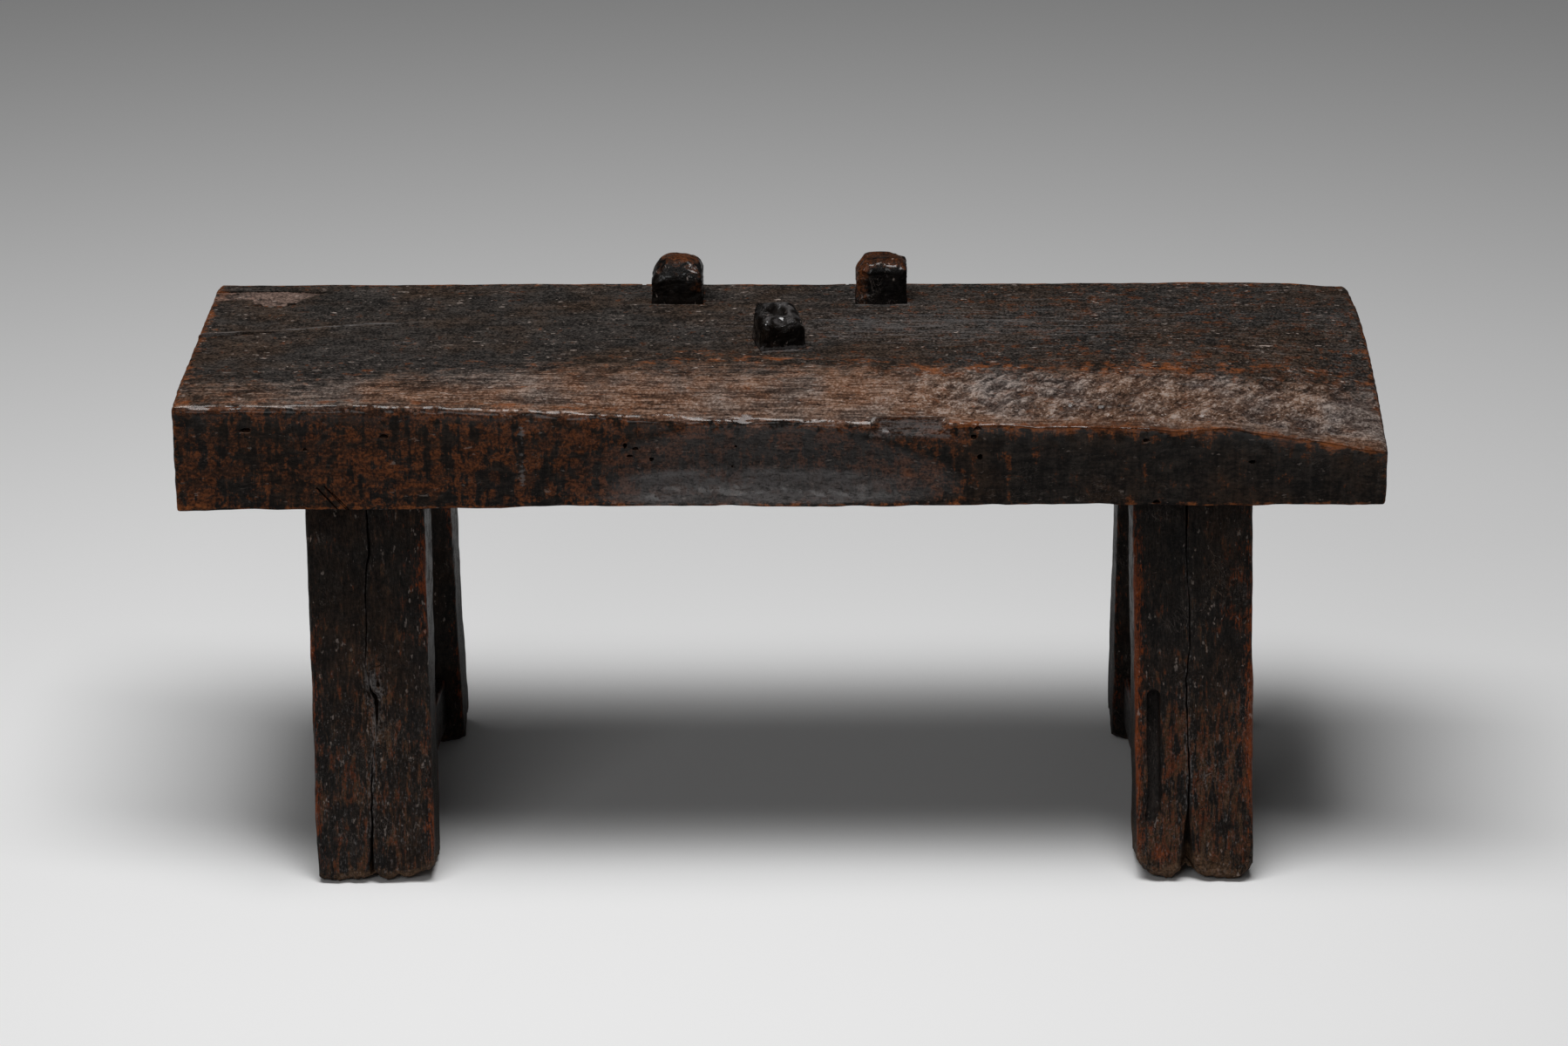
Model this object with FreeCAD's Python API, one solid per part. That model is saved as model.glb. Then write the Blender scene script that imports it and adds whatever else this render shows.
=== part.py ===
import FreeCAD, Part
import math
import os

# Low wooden work bench: a worn slab on four splayed plank legs, tied by a low stretcher at each end,
# with three square bench stops that slide through the slab.
# Millimetres. X runs along the slab, -Y is the front, +Z is up, and the floor is Z = 0 under the middle.

Vector = FreeCAD.Vector

# Slab
slab_length = 1005.0
slab_depth = 330.0
slab_thickness = 93.0
underside_height = 334.0
slab_back_corner_round = 12.0
slab_front_corner_round = 5.0
slab_edge_round = 5.0

# Worn front of the slab, at even steps from the left end to the right end.
# Each pair: how far the wear reaches back from the front face, and how deep it is there.
worn_start_slope = 0.06
worn_sections = (
    (45.0, 4.0),
    (54.0, 5.0),
    (62.0, 8.0),
    (70.0, 14.5),
    (80.0, 19.5),
    (92.0, 21.5),
    (115.0, 24.0),
    (160.0, 28.5),
    (235.0, 47.5),
)

# Scooped hollow in the front face
scoop_x = -22.0
scoop_height = 28.0
scoop_half_length = 185.0
scoop_half_height = 37.0
scoop_depth = 12.0
scoop_roundness = 60.0

# Chip split out of the front top edge
chip_x = 107.0
chip_length = 62.0
chip_height = 10.0
chip_depth = 7.0
chip_end_slope = 9.0

# Broken recess at the back left corner, in two steps
recess_length = 73.0
recess_depth = 8.0
recess_back_inset = 24.0
recess_narrow_width = 26.0
recess_wide_length = 35.0
recess_wide_width = 44.0

# Legs, the front pair narrower than the back pair and a little left of the middle
leg_end_inset = 154.5
leg_face_inset = 48.0
front_leg_shift = -2.4
front_leg_lean = 5.0
front_leg_width_top = 101.0
front_leg_width_foot = 99.0
back_leg_lean = 3.0
back_leg_width = 106.0
leg_thickness = 62.0
leg_splay = 11.5
leg_edge_round = 5.0

# Blind leg tenons and the wedges hidden in their ends
leg_tenon_width = 66.0
leg_tenon_thickness = 34.0
leg_tenon_length = 52.0
wedge_length = 36.0
wedge_thick_end = 8.0
wedge_thin_end = 1.5

# Old slot in the front right leg, and the notches worn into the two front feet
slot_inset = 9.5
slot_width = 12.0
slot_low = 50.0
slot_high = 164.0
slot_depth = 16.0
notch_depth = 26.0
right_notch_offset = -9.0
right_notch_width = 17.0
right_notch_height = 15.0
left_notch_offset = -6.0
left_notch_width = 14.0
left_notch_height = 9.0

# Stretchers, one at each end, closer to the middle at the back than in front
stretcher_height = 48.0
stretcher_low = 22.0
stretcher_thickness = 26.0
stretcher_front_inset = 19.0
stretcher_back_inset = 10.0
stretcher_tenon_height = 32.0
stretcher_tenon_thickness = 14.0
stretcher_tenon_length = 24.0

# Bench stops: two in a row at the back, one turned stop in front of them
stop_width = 45.0
stop_depth = 43.0
stop_hang = 25.0
stop_edge_bevel = 2.5
stop_end_bevel = 3.0
stop_row_inset = 22.0
stop_row_spacing = 179.0
stop_row_x = -2.5
stop_rise = 38.0
left_stop_side_rounds = (17.0, 9.0)
left_stop_face_rounds = (14.0, 9.0)
right_stop_side_rounds = (15.0, 5.0)
right_stop_face_rounds = (10.0, 8.0)
front_stop_size = 40.0
front_stop_turn = 12.0
front_stop_rise = 34.0
front_stop_fall = 10.0
front_stop_x = -2.0
work_gap = 89.0
dish_depth = 5.0
dish_radius = 36.0

# Clearances
joint_gap = 0.15
tenon_end_gap = 0.5
stop_gap = 0.3

# A cutter runs this far past the face that it opens
overrun = 10.0

slab_top = underside_height + slab_thickness
front_face = -slab_depth / 2
back_face = slab_depth / 2
splay_slope = math.tan(math.radians(leg_splay))
leg_depth = leg_thickness / math.cos(math.radians(leg_splay))
leg_centre_x = slab_length / 2 - leg_end_inset
shoulder_centre_y = slab_depth / 2 - leg_face_inset - leg_depth / 2
tenon_top = underside_height + leg_tenon_length

# Shift, lean, top width and foot width of the front (-1) and the back (1) legs
leg_rows = {
    -1: (front_leg_shift, front_leg_lean, front_leg_width_top, front_leg_width_foot),
    1: (0.0, back_leg_lean, back_leg_width, back_leg_width),
}

# Place, size, turn and rise of each stop
stop_size = (stop_width, stop_depth)
stop_row_y = back_face - stop_row_inset - stop_depth / 2
back_left_layout = ((stop_row_x - stop_row_spacing / 2, stop_row_y), stop_size, 0.0, stop_rise)
back_right_layout = ((stop_row_x + stop_row_spacing / 2, stop_row_y), stop_size, 0.0, stop_rise)
front_size = (front_stop_size, front_stop_size)
front_stop_y = stop_row_y - stop_depth / 2 - work_gap - front_stop_size / 2
front_layout = ((front_stop_x, front_stop_y), front_size, front_stop_turn, front_stop_rise)


def rectangle(centre, size, height):
    """Corners of a level rectangle, counter-clockwise from above."""
    signs = ((-1, -1), (1, -1), (1, 1), (-1, 1))
    return [Vector(centre[0] + sx * size[0] / 2, centre[1] + sy * size[1] / 2, height) for sx, sy in signs]


def block(lower, upper):
    """Flat-sided solid between two matching rings of four corners."""
    rings = [list(reversed(lower)), upper]
    for i in range(4):
        j = (i + 1) % 4
        rings.append([lower[i], lower[j], upper[j], upper[i]])
    faces = [Part.Face(Part.makePolygon(ring + ring[:1])) for ring in rings]
    return Part.Solid(Part.Shell(faces))


def prism(outline, length):
    """Solid swept along a straight line from a flat outline."""
    return Part.Face(Part.makePolygon(outline + outline[:1])).extrude(length)


def box(x_range, y_range, z_range):
    """Upright box from three ranges."""
    size = [high - low for low, high in (x_range, y_range, z_range)]
    return Part.makeBox(*size, Vector(x_range[0], y_range[0], z_range[0]))


def upright_edges(solid):
    """Edges that rise from the lowest to the highest point of a solid."""
    tall = solid.BoundBox.ZLength * 0.9
    return [edge for edge in solid.Edges if edge.BoundBox.ZLength > tall]


def level_edges(solid, height):
    """Edges that lie in one level plane."""
    return [edge for edge in solid.Edges
            if abs(edge.BoundBox.ZMin - height) < 1e-4 and abs(edge.BoundBox.ZMax - height) < 1e-4]


def leg_centre(side, height):
    """Middle of a leg at a height. side is (-1 left or 1 right, -1 front or 1 back)."""
    shift, lean, _, _ = leg_rows[side[1]]
    x = side[0] * leg_centre_x + shift + lean * (1 - height / underside_height)
    y = side[1] * (shoulder_centre_y + (underside_height - height) * splay_slope)
    return x, y


def leg_tenon(side, gap, end_gap):
    """Blind tenon along the splay of a leg. With gaps it is the mortise that takes it."""
    size = (leg_tenon_width + 2 * gap, leg_tenon_thickness + 2 * gap)
    base = underside_height - end_gap
    end = tenon_top + end_gap
    return block(rectangle(leg_centre(side, base), size, base), rectangle(leg_centre(side, end), size, end))


def tenon_wedge(side, gap):
    """Wedge in the end of a leg tenon, thick end up. With a gap it is the kerf that takes it."""
    tip = tenon_top - wedge_length - gap
    thin = (wedge_thin_end + 2 * gap, leg_tenon_thickness)
    thick = (wedge_thick_end + 2 * gap, leg_tenon_thickness)
    return block(rectangle(leg_centre(side, tip), thin, tip),
                 rectangle(leg_centre(side, tenon_top), thick, tenon_top))


def stretcher_x(side_x, y):
    """Middle of a stretcher at a depth. It runs askew, from the front inset to the back inset."""
    inner_face = leg_centre_x - front_leg_width_foot / 2 + stretcher_thickness / 2
    mean_inset = (stretcher_front_inset + stretcher_back_inset) / 2
    skew = (stretcher_back_inset - stretcher_front_inset) / (2 * shoulder_centre_y)
    return side_x * (inner_face + mean_inset + skew * y)


def leg_inner_face(side_y, height):
    """Depth of the face that a front or back leg turns to the stretcher."""
    return leg_centre((1, side_y), height)[1] - side_y * leg_depth / 2


def stretcher_bar(side_x, half_thickness, low, high, length_past_legs):
    """Bar between a front and a back leg, its ends on their faces or some way inside them."""
    def ring(height):
        front = leg_inner_face(-1, height) - length_past_legs
        back = leg_inner_face(1, height) + length_past_legs
        ends = ((-1, front), (1, front), (1, back), (-1, back))
        return [Vector(stretcher_x(side_x, y) + sign * half_thickness, y, height) for sign, y in ends]
    return block(ring(low), ring(high))


def stretcher_tenons(side_x, gap, end_gap):
    """Bar that forms both stub tenons of a stretcher. With gaps it is the mortise in each leg."""
    middle = stretcher_low + stretcher_height / 2
    half_height = stretcher_tenon_height / 2 + gap
    return stretcher_bar(side_x, stretcher_tenon_thickness / 2 + gap, middle - half_height,
                         middle + half_height, stretcher_tenon_length + end_gap)


def foot_notch(side, offset, width, height):
    """Pointed notch that a split opened in the front of a foot, offset from its middle."""
    x, y = leg_centre(side, 0.0)
    x += offset
    front = y - leg_depth / 2 - overrun
    half = width / 2 * (1 + overrun / height)
    corners = ((x - half, -overrun), (x + half, -overrun), (x, height))
    outline = [Vector(u, front, z) for u, z in corners]
    return prism(outline, Vector(0, overrun + notch_depth, 0))


def leg_slot():
    """Old blind slot with round ends, square to the front face of the front right leg."""
    side = (1, -1)
    middle = (slot_low + slot_high) / 2
    x, y = leg_centre(side, middle)
    half_straight = (slot_high - slot_low - slot_width) / 2
    radius = slot_width / 2
    centre_x = x - front_leg_width_foot / 2 + slot_inset + radius
    length = slot_depth + overrun
    slot = box((-radius, radius), (-overrun, slot_depth), (-half_straight, half_straight))
    for end in (-half_straight, half_straight):
        slot = slot.fuse(Part.makeCylinder(radius, length, Vector(0, -overrun, end), Vector(0, 1, 0)))
    slot = slot.removeSplitter()
    slot.rotate(Vector(0, 0, 0), Vector(1, 0, 0), -leg_splay)
    slot.translate(Vector(centre_x, y - leg_depth / 2, middle))
    return slot


def leg(side):
    """Tapered, splayed leg with level ends, rounded edges, its tenon and the stretcher's mortise."""
    _, _, width_top, width_foot = leg_rows[side[1]]
    foot = rectangle(leg_centre(side, 0.0), (width_foot, leg_depth), 0.0)
    shoulder = rectangle(leg_centre(side, underside_height), (width_top, leg_depth), underside_height)
    plank = block(foot, shoulder)
    plank = plank.makeFillet(leg_edge_round, upright_edges(plank) + level_edges(plank, 0.0))
    plank = plank.fuse(leg_tenon(side, 0.0, 0.0)).removeSplitter()
    plank = plank.cut(tenon_wedge(side, joint_gap))
    plank = plank.cut(stretcher_tenons(side[0], joint_gap, tenon_end_gap))
    if side == (-1, -1):
        plank = plank.cut(foot_notch(side, left_notch_offset, left_notch_width, left_notch_height))
    if side == (1, -1):
        plank = plank.cut(foot_notch(side, right_notch_offset, right_notch_width, right_notch_height))
        plank = plank.cut(leg_slot())
    return plank


def stretcher(side_x):
    """Low side rail with a stub tenon into each leg."""
    high = stretcher_low + stretcher_height
    rail = stretcher_bar(side_x, stretcher_thickness / 2, stretcher_low, high, 0.0)
    return rail.fuse(stretcher_tenons(side_x, 0.0, 0.0)).removeSplitter()


def stop_prism(place, size, turn, gap, low, high):
    """Square upright prism at a place on the slab, turned about its own middle."""
    half = [length / 2 + gap for length in size]
    post = box((-half[0], half[0]), (-half[1], half[1]), (low, high))
    post.rotate(Vector(0, 0, 0), Vector(0, 0, 1), turn)
    post.translate(Vector(place[0], place[1], 0))
    return post


def stop_blank(layout):
    """Stop with bevelled upright edges and a bevelled lower end, square on top."""
    place, size, turn, rise = layout
    blank = stop_prism(place, size, turn, 0.0, underside_height - stop_hang, slab_top + rise)
    blank = blank.makeChamfer(stop_edge_bevel, upright_edges(blank))
    return blank.makeChamfer(stop_end_bevel, level_edges(blank, underside_height - stop_hang))


def rounded_profile(half, low, top, rounds, across):
    """Upright outline with two rounded top corners, in X (across = 0) or in Y (across = 1)."""
    def point(u, z):
        return Vector(u, 0, z) if across == 0 else Vector(0, u, z)

    def corner(sign, radius):
        bend = radius * (1 - math.sqrt(0.5))
        return [point(sign * half, top - radius), point(sign * (half - bend), top - bend),
                point(sign * (half - radius), top)]

    first = corner(-1, rounds[0])
    second = corner(1, rounds[1])
    straight = ((first[2], second[2]), (second[0], point(half, low)), (point(half, low), point(-half, low)),
                (point(-half, low), first[0]))
    lines = [Part.LineSegment(a, b).toShape() for a, b in straight]
    arcs = [Part.Arc(*first).toShape(), Part.Arc(*second).toShape()]
    return Part.Face(Part.Wire(Part.__sortEdges__(arcs + lines)))


def rounded_stop(layout, side_rounds, face_rounds):
    """Back stop, hammered round on top: its two top profiles meet as one pillow."""
    place, size, _, rise = layout
    stop = stop_blank(layout)
    low = underside_height - stop_hang - overrun
    for across, rounds in ((0, side_rounds), (1, face_rounds)):
        length = Vector(0, 2 * size[1], 0) if across == 0 else Vector(2 * size[0], 0, 0)
        form = rounded_profile(size[across] / 2, low, slab_top + rise, rounds, across).extrude(length)
        form.translate(Vector(place[0], place[1], 0) - length / 2)
        stop = stop.common(form)
    return stop


def dished_stop(layout):
    """Front stop: its top slopes down to the right and is worn into a shallow dish."""
    place, size, turn, rise = layout
    top = slab_top + rise
    half = size[0] / 2
    wide = 2 * size[1]
    profile = [Vector(-half, -wide, top), Vector(-half, -wide, top + overrun),
               Vector(half + overrun, -wide, top + overrun),
               Vector(half + overrun, -wide, top - front_stop_fall * (1 + overrun / size[0]))]
    slope = prism(profile, Vector(0, 2 * wide, 0))
    dish = Part.makeSphere(dish_radius, Vector(0, 0, top - front_stop_fall / 2 + dish_radius - dish_depth))
    cutter = slope.fuse(dish)
    cutter.rotate(Vector(0, 0, 0), Vector(0, 0, 1), turn)
    cutter.translate(Vector(place[0], place[1], 0))
    return stop_blank(layout).cut(cutter)


def worn_section(x, reach, depth):
    """Closed outline of the wood that wear took away at one place along the slab."""
    start = front_face + reach
    curve = (depth - worn_start_slope * reach) / reach ** 2

    def worn_height(y):
        run = start - y
        return slab_top - worn_start_slope * run - curve * run * run

    back_y = start + overrun
    front_y = front_face - overrun
    pole_y = (back_y + front_y) / 2
    back_slope = -worn_start_slope + 2 * curve * overrun
    pole_z = worn_height(back_y) + back_slope * (back_y - pole_y)
    surface = Part.BezierCurve()
    surface.setPoles([Vector(x, back_y, worn_height(back_y)), Vector(x, pole_y, pole_z),
                      Vector(x, front_y, worn_height(front_y))])
    above = slab_top + 2 * overrun
    upper = [surface.EndPoint, Vector(x, front_y, above), Vector(x, back_y, above), surface.StartPoint]
    lines = [Part.LineSegment(a, b).toShape() for a, b in zip(upper, upper[1:])]
    return Part.Wire([surface.toShape()] + lines)


def worn_places():
    """Places of the worn sections along the slab."""
    step = slab_length / (len(worn_sections) - 1)
    return [-slab_length / 2 + i * step for i in range(len(worn_sections))]


def worn_away():
    """Wood worn off the front of the seat: deeper and wider towards the right end."""
    places = worn_places()
    places[0] -= overrun
    places[-1] += overrun
    return Part.makeLoft([worn_section(x, *row) for x, row in zip(places, worn_sections)], True, False)


def scoop():
    """Ellipsoid that hollows the front face, open through its lower edge."""
    outside = scoop_roundness - scoop_depth
    spread = math.sqrt(1 - (outside / scoop_roundness) ** 2)
    matrix = FreeCAD.Matrix()
    matrix.scale(Vector(scoop_half_length / spread, scoop_roundness, scoop_half_height / spread))
    ball = Part.makeSphere(1.0).transformGeometry(matrix)
    ball.translate(Vector(scoop_x, front_face - outside, underside_height + scoop_height))
    return ball


def front_edge_height(x):
    """Height of the worn front edge at a place along the slab, in line between two sections."""
    share = (x / slab_length + 0.5) * (len(worn_sections) - 1)
    i = min(max(int(share), 0), len(worn_sections) - 2)
    before = worn_sections[i][1]
    after = worn_sections[i + 1][1]
    return slab_top - before - (after - before) * (share - i)


def edge_chip():
    """Splinter lost from the front top edge, with sloping ends."""
    edge = front_edge_height(chip_x)
    half = chip_length / 2
    rise = chip_end_slope * overrun / chip_height
    outline = [Vector(chip_x - half - rise, front_face - overrun, edge + overrun),
               Vector(chip_x + half + rise, front_face - overrun, edge + overrun),
               Vector(chip_x + half - chip_end_slope, front_face - overrun, edge - chip_height),
               Vector(chip_x - half + chip_end_slope, front_face - overrun, edge - chip_height)]
    return prism(outline, Vector(0, overrun + chip_depth, 0))


def corner_recess():
    """Shallow stepped recess where the back left corner split away."""
    left = -slab_length / 2
    back = back_face - recess_back_inset
    heights = (slab_top - recess_depth, slab_top + overrun)
    inner = left + recess_length
    narrow = box((left - overrun, inner), (back - recess_narrow_width, back), heights)
    wide = box((inner - recess_wide_length, inner), (back - recess_wide_width, back), heights)
    return narrow.fuse(wide).removeSplitter()


def slab():
    """Thick seat slab with its wear, its hollows and the mortises for the legs and the stops."""
    half_length = slab_length / 2
    body = box((-half_length, half_length), (front_face, back_face), (underside_height, slab_top))
    back = [edge for edge in upright_edges(body) if edge.BoundBox.YMin > 0]
    body = body.makeFillet(slab_back_corner_round, back)
    front = [edge for edge in upright_edges(body) if edge.BoundBox.YMax < front_face + 1e-4]
    body = body.makeFillet(slab_front_corner_round, front)
    body = body.makeFillet(slab_edge_round, level_edges(body, slab_top))
    body = body.cut(worn_away())
    for cutter in (scoop(), edge_chip(), corner_recess()):
        body = body.cut(cutter)
    for side in leg_sides.values():
        body = body.cut(leg_tenon(side, joint_gap, tenon_end_gap))
    for place, size, turn, _ in (back_left_layout, back_right_layout, front_layout):
        low = underside_height - overrun
        body = body.cut(stop_prism(place, size, turn, stop_gap, low, slab_top + overrun))
    return body


leg_sides = {
    "front_left": (-1, -1),
    "front_right": (1, -1),
    "back_left": (-1, 1),
    "back_right": (1, 1),
}

nodes = {"top_slab": slab()}
for corner, corner_side in leg_sides.items():
    nodes[corner + "_leg"] = leg(corner_side)
    nodes[corner + "_wedge"] = tenon_wedge(corner_side, 0.0)
nodes["left_stretcher"] = stretcher(-1)
nodes["right_stretcher"] = stretcher(1)
nodes["back_left_stop"] = rounded_stop(back_left_layout, left_stop_side_rounds, left_stop_face_rounds)
nodes["back_right_stop"] = rounded_stop(back_right_layout, right_stop_side_rounds, right_stop_face_rounds)
nodes["front_stop"] = dished_stop(front_layout)

os.makedirs("parts", exist_ok=True)
for name, shape in nodes.items():
    shape.exportStep("parts/" + name + ".step")
    print(name, "solids", len(shape.Solids), "valid", shape.isValid(), "volume", round(shape.Volume))
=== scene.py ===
import itertools
import math

import bmesh
import bpy
import numpy as np
from bpy.props import FloatProperty, FloatVectorProperty, PointerProperty
from mathutils import Matrix, Vector


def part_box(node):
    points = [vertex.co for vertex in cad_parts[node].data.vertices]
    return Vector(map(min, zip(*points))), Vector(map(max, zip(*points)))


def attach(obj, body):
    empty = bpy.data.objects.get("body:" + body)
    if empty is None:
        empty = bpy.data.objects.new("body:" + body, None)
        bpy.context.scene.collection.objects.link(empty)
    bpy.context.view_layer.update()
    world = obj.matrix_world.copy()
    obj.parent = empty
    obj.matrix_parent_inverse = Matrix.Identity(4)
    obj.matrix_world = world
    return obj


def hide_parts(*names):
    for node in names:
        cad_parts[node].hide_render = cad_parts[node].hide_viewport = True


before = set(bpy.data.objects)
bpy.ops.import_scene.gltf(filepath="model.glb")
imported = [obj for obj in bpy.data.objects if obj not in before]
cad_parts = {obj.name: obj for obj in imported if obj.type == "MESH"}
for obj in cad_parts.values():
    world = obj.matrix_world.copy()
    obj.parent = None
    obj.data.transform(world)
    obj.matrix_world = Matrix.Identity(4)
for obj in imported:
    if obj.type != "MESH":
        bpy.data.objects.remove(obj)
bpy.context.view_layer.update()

bl_info = {
    "name": "Worn Work Bench",
    "version": (1, 0, 0),
    "blender": (4, 5, 0),
    "location": "View3D > Sidebar > Bench",
    "description": "Builds a worn slab bench with plank legs, stretchers and sliding bench stops",
    "category": "Add Mesh",
}

# Points are worked on in millimetres. X runs along the slab, -Y is the front, +Z is up.
MM = 0.001
# Cells along a side of the table of random values, and steps in which the spacing of lines is graded
FIELD_SIZE = 32
GRADING_STEPS = 4000
# Edges whose faces turn by more than this are shaded sharp
SHARP_ANGLE = math.radians(52)

slab_low, slab_high = (np.array(corner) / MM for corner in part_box("top_slab"))
HALF_LENGTH = (slab_high[0] - slab_low[0]) / 2
FRONT = slab_low[1]
BACK = slab_high[1]
UNDERSIDE = slab_low[2]
TOP = slab_high[2]

# Wear along the front of the seat: how far it reaches back and how deep it is at the front face
WORN_PLACES = np.linspace(-HALF_LENGTH, HALF_LENGTH, 9)
WORN_REACH = (45, 54, 62, 70, 80, 92, 115, 160, 235)
WORN_DEPTH = (4, 5, 8, 14.5, 19.5, 21.5, 24, 28.5, 47.5)
WORN_START_SLOPE = 0.06
# Dips and bumps of the front edge: place, spread, depth
EDGE_DIPS = ((327, 17, 2.6), (371, 15, -2.4), (212, 26, 1.2), (-60, 30, 1))
# How far back they reach
EDGE_DIP_REACH = 28
# Pale worn band along the front of the seat: where it ends towards the back and how strong it is
BAND_PLACES = (-500, -435, -310, -218, -143, 3, 149, 295, 442, 500)
BAND_LINE = (-104, -98, -86, -66, -68, -60, -80, -80, -78, -70)
BAND_STRENGTH = (0.48, 0.53, 0.58, 0.64, 0.63, 0.66, 0.82, 0.98, 0.95, 0.88)

# Torn fibres of that band: Y where they begin, softness of their back edge, their share at the left, X where
# they grow to full strength, and the part they lose again at the right end
TORN_FROM = (-163, -146)
TORN_SOFT = 14
TORN_LEFT = 0.3
TORN_RISE = (60, 190)
TORN_LOSS = 0.45
TORN_FALL = (430, 490)

# Lower edges' rounding, and how far the back right corner falls and the lower edge sags at the left
LOWER_ROUND = 3
FRONT_LOWER_ROUND = 2.2
CORNER_FALL = 4.5
LEFT_SAG = 2.6
# Turn of the slanted fibres and of the tears, deepest nick in the front edge, wear of the lower front edge
FIBRE_SLANT = math.radians(14)
TEAR_SLANT = math.radians(-52)
NICK_DEPTH = 2.8
LOWER_WEAR = 1.3
# Knot in the seat: X and Y, how much narrower than long it is, height of its ring
SEAT_KNOT = (-323, -8.7)
SEAT_KNOT_SQUEEZE = 1.6
SEAT_KNOT_RISE = 0.7
# How far a cutter stands out of the wood
CLEAR = 10

# Hollow scooped into the front face: its middle, the height of its deepest line above the underside, how far
# it reaches to each side, up and down, and how far the deepest line sinks towards both ends
SCOOP_X = -22
SCOOP_HEIGHT = 26
SCOOP_HALF_LENGTH = 188
SCOOP_REACH_UP = 46
SCOOP_REACH_DOWN = 27
SCOOP_SINK = 12
# Softness of its rim, and how far into the slab the wood is drawn in with it
SCOOP_SOFTNESS = 0.5
SCOOP_PULL = 60

# Splinter lost from the front edge, as an outline in X and Z below the edge
CHIP_OUTLINE = ((71, 14), (75, -2), (84, -6.5), (96, -8), (110, -10.5), (122, -8),
                (132, -8.5), (139, -3), (144, 14))
CHIP_EDGE = 404.5
CHIP_DEPTH = 9
CHIP_SLOPE = 0.95
CHIP_RIPPLE = 1.2
# Middle and half length of the splinter, and depth of its middle below the edge
CHIP_X = 107
CHIP_HALF_LENGTH = 35
CHIP_DROP = 8.5

# Broken recess at the back left corner, as an outline in X and Y
RECESS_OUTLINE = ((-515, 111), (-466, 116.5), (-463, 98.5), (-447, 99.5), (-436, 98),
                  (-427, 108), (-417, 124), (-402, 137), (-440, 142), (-515, 140.5))
RECESS_DEPTH = 6.5
RECESS_PITS = ((-460, 101.5), (-431, 105))
RECESS_BACK = 142
RECESS_FRONT = 95
RECESS_RIGHT = -400
# Depth at its back edge, and the distance over which it falls to its full depth
RECESS_RIM = 0.9
RECESS_REACH = 44

# Split that runs in from the left end, as an outline in X and Y
SPLIT_OUTLINE = ((-510, 5.4), (-484, 9.8), (-461, 15.4), (-428, 23.6), (-460, 21),
                 (-484, 18.4), (-510, 15.4))
SPLIT_DEPTH = 11
# Raised line that carries the split on towards the right, in X and Y, and its height
SPLIT_LINE = ((-500, 14), (-426, 24), (-360, 40), (-250, 50), (-200, 47))
SPLIT_RISE = 1.1

# Old nail and worm holes in the front face: X, Z, half width, half height
HOLES = ((-128.4, 386.6, 1.6, 2.4), (-119.8, 383.5, 2.6, 1.5), (-124.9, 376.6, 2.8, 1.4),
         (-106.9, 372.7, 2.2, 2.2), (-441.3, 402, 4, 1.9), (-327.7, 396.3, 3.2, 1.8),
         (159.7, 394.1, 2.2, 2), (165.3, 377, 1.9, 2.2), (163, 402, 2.6, 1.5),
         (302, 391, 2.2, 1.6), (390.4, 372, 2.6, 1.4), (-393, 385.1, 1.6, 1.2),
         (-37, 384, 1.4, 1.4), (-40, 365, 1.2, 1.4), (312, 337, 2.6, 1.6))
HOLE_SIDES = 9
# Outer and inner ring of a hole: distance behind the front face, growth
HOLE_RINGS = ((-5, 1.4), (18, 0.6))

# Knife cuts across the lower front edge: X and Z of both ends
KNIFE_CUTS = ((-385, 352, -366, 330), (-378.5, 353, -358, 330), (-372.5, 347, -356, 329))
KNIFE_WIDTH = 2.6
# Outer and inner ring of a cut: distance behind the front face, growth
KNIFE_RINGS = ((-4, 1), (3.2, 0.3))

# Saw nicks in the back edge: X, width
BACK_NICKS = ((-123, 4.5), (57.5, 4))
BACK_NICK_DEPTH = 5
# Nick in the left end's top edge: Y, width, depth
END_NICK = (-49, 9, 4.5)
# Drip down the front face: X, heights where it ends below and above
DRIP_X = -213
DRIP_LOW = (350, 352)
DRIP_HIGH = (404, 407)

# Strength of effects along the slab, as pairs of X and strength
ALONG_SLAB = {
    "arris": ((-500, 0.5), (-200, 0.6), (100, 0.7), (230, 0.88), (500, 0.74)),
    "band": ((-500, 0.3), (-300, 0.32), (-100, 0.4), (200, 0.36), (400, 0.26)),
    "glow": ((-500, 0.2), (-250, 0.32), (-60, 0.44), (120, 0.5), (360, 0.42), (500, 0.34)),
    "stain": ((-500, 0.58), (-470, 0.54), (-440, 0.44), (-380, 0.52), (-280, 0.52), (-150, 0.48), (0, 0.36),
              (130, 0.46), (220, 0.15), (500, 0.1)),
    "lip": ((-150, 0), (-100, 1), (50, 1), (125, 0)),
    # Painted sheen on the slope of the hollow in the front face, weak at its left end
    "veil": ((-165, 0.2), (-95, 1)),
}

# Legs: side is (-1 left or 1 right, -1 front or 1 back)
LEG_SIDES = {"front_left": (-1, -1), "front_right": (1, -1), "back_left": (-1, 1), "back_right": (1, 1)}
# Front (-1) and back (1) legs: shift and lean along the slab, width at the top and at the foot
LEG_ROWS = {-1: (-2.4, 5, 101, 99), 1: (0, 3, 106, 106)}
LEG_END_INSET = 154.5
LEG_FACE_INSET = 48
LEG_DEPTH = 63.27
LEG_SPLAY = math.tan(math.radians(11.5))
LEG_CENTRE_X = HALF_LENGTH - LEG_END_INSET
SHOULDER_CENTRE_Y = BACK - LEG_FACE_INSET - LEG_DEPTH / 2
TENON_WIDTH = 66
TENON_DEPTH = 34
TENON_TOP = UNDERSIDE + 52
WEDGE_LENGTH = 36
WEDGE_THICK = 8
WEDGE_THIN = 1.5

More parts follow.
